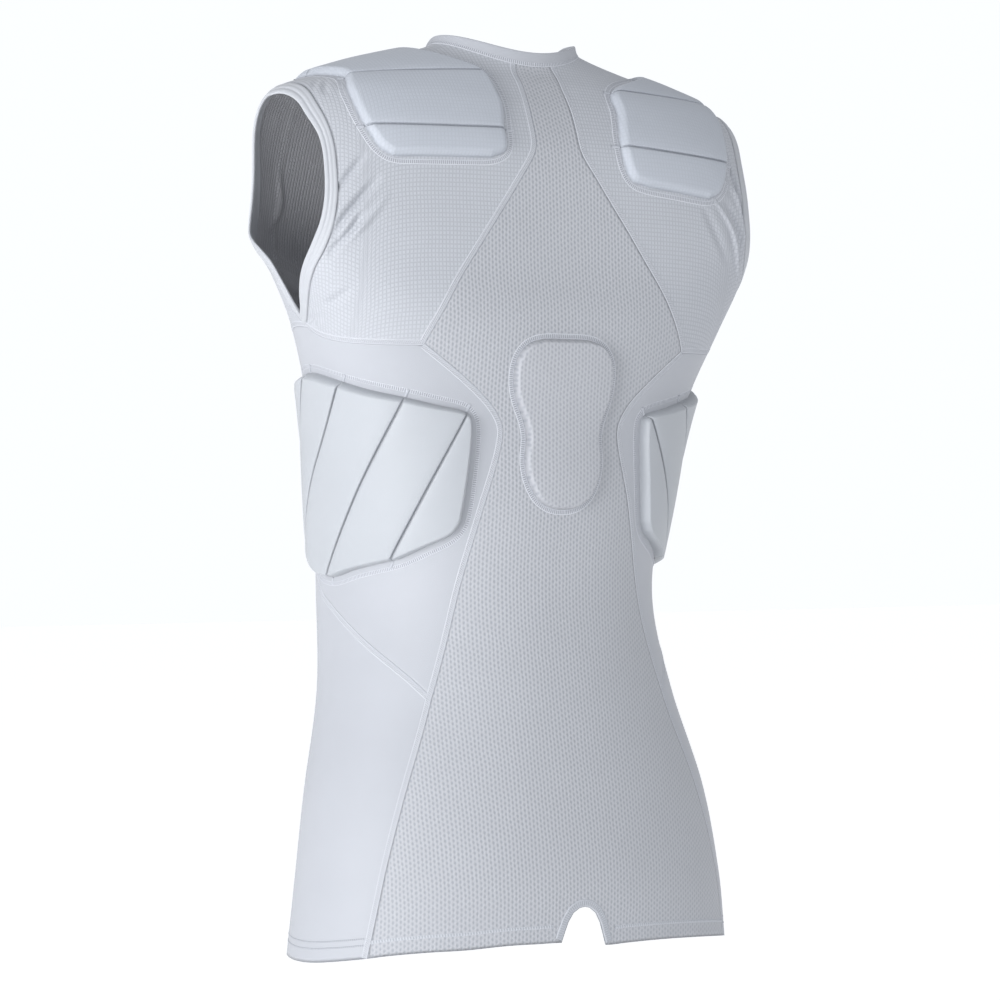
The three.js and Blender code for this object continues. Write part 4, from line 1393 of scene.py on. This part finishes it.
def add_side(side, way, creases, shoulder_rows):
    """One side's panels, binding and pads; gives the seam stitching that lies on the mesh."""
    flip = (way, 1)
    seams = add_seam_stitching(side, way)
    side_trims = [name for name in seams if name.split("_")[0] in ("back", "diagonal", "front")]
    yoke_trims = [name for name in seams if name.startswith("shoulder")]
    side_trims += add_pad_stitching(f"rib_pad_{side}", RIB_PAD, way, *RIB_RING)
    yoke_trims += add_pad_stitching(f"shoulder_pad_{side}", shoulder_rows, way, *SHOULDER_RING)
    add_cloth(
        f"yoke_cloth_{side}", f"back_yoke_{side}", back_yoke_places() * flip, "grid_knit",
        both_sides(GRID_KNIT), creases, yoke_map,
    )
    add_cloth(
        f"side_cloth_{side}", f"side_panel_{side}", side_panel_places() * flip, "plain_knit",
        both_sides(PLAIN_KNIT),
    )
    add_band(
        f"armhole_trim_{side}", f"armhole_binding_{side}",
        (armhole_loop("seam") * flip, armhole_loop("edge") * flip), BINDING_SECTION, "trim_knit",
        TRIM_KNIT,
    )
    add_pad(f"rib_foam_{side}", f"rib_pad_{side}", RIB_PAD, RIB_FOAM, "plain_pad", PLAIN_PAD, way)
    add_pad(
        f"shoulder_foam_{side}", f"shoulder_pad_{side}", shoulder_rows, SHOULDER_FOAM, "grid_pad",
        GRID_PAD, way, yoke_map,
    )
    return [name for name in seams if name.split("_")[0] in ("hip", "waist", "spine")]


def add_centre_back():
    """The mesh down the centre back, and the pad over the spine."""
    add_pad("spine_foam", "spine_pad", SPINE_PAD, SPINE_FOAM, "mesh_pad", HONEYCOMB_PAD)
    add_cloth(
        "back_mesh", "back_mesh_panel", back_mesh_places(), "honeycomb_mesh",
        both_sides(HONEYCOMB_KNIT),
    )


def add_front():
    """The front yoke, the plain front below it, and the seam between them."""
    segments = FINER * SEGMENTS["front"]
    chest_seam = level_line(FRONT_TOP_CORNER, mirrored_round(FRONT_TOP_CORNER), segments)
    add_ribbon("chest_stitching", chest_seam, SEAM_RIBBON, SEAM_THREAD)
    add_cloth(
        "front_yoke_cloth", "front_yoke", front_yoke_places(), "grid_knit",
        both_sides(GRID_KNIT), CREASES_FRONT, yoke_map,
    )
    add_cloth(
        "front_cloth", "front_body", front_body_places(), "plain_knit", both_sides(PLAIN_KNIT),
    )


NECK_POINTS = 241
# How much narrower the neck band is at the sides than at the back and the front
NECK_NARROWS_BY = 2.6


def add_neck():
    """The neck band and its stitching."""
    turns = np.linspace(0, 360, NECK_POINTS)
    seam = np.stack([turns, np.full_like(turns, NECK_SEAM)], -1)
    rise = NECK_TOP - NECK_SEAM - NECK_NARROWS_BY * np.sin(np.radians(turns)) ** 4
    lines = (seam, np.stack([turns, NECK_SEAM + rise], -1))
    add_band("neck_trim", "neck_band", lines, NECK_SECTION, "trim_knit", NECK_KNIT)
    add_ribbon("neck_stitching", seam[:-1], NECK_RIBBON, PAD_THREAD, flat_stitch, closed=True)


FLOOR_SIZE = 12
FLOOR_HEIGHT = -0.98


def add_floor():
    """A white floor, well below the shirt."""
    bm = bmesh.new()
    bmesh.ops.create_grid(bm, x_segments=1, y_segments=1, size=FLOOR_SIZE)
    bmesh.ops.translate(bm, verts=bm.verts, vec=(0, 0, FLOOR_HEIGHT))
    mesh = bpy.data.meshes.new("floor")
    bm.to_mesh(mesh)
    bm.free()
    material, tree, shader = new_material("floor", 0.9)
    shader.inputs["Base Color"].default_value = (0.95, 0.95, 0.95, 1)
    shader.inputs["Emission Color"].default_value = (1, 1, 1, 1)
    shader.inputs["Emission Strength"].default_value = 0.4
    floor = new_object("floor", mesh, material)


bpy.context.scene.view_settings.view_transform = "Standard"
add_camera()
add_studio()
front_trims = add_front_hem_stitching()
mesh_trims = add_mesh_hem_stitching()
mesh_trims += add_pad_stitching("spine_pad", SPINE_PAD, 1, *SPINE_RING, tacks=False)
mesh_trims += add_side("left", 1, CREASES_LEFT, SHOULDER_PAD_LEFT)
mesh_trims += add_side("right", -1, CREASES_RIGHT, SHOULDER_PAD_RIGHT)
add_centre_back()
add_front()
add_neck()
add_floor()
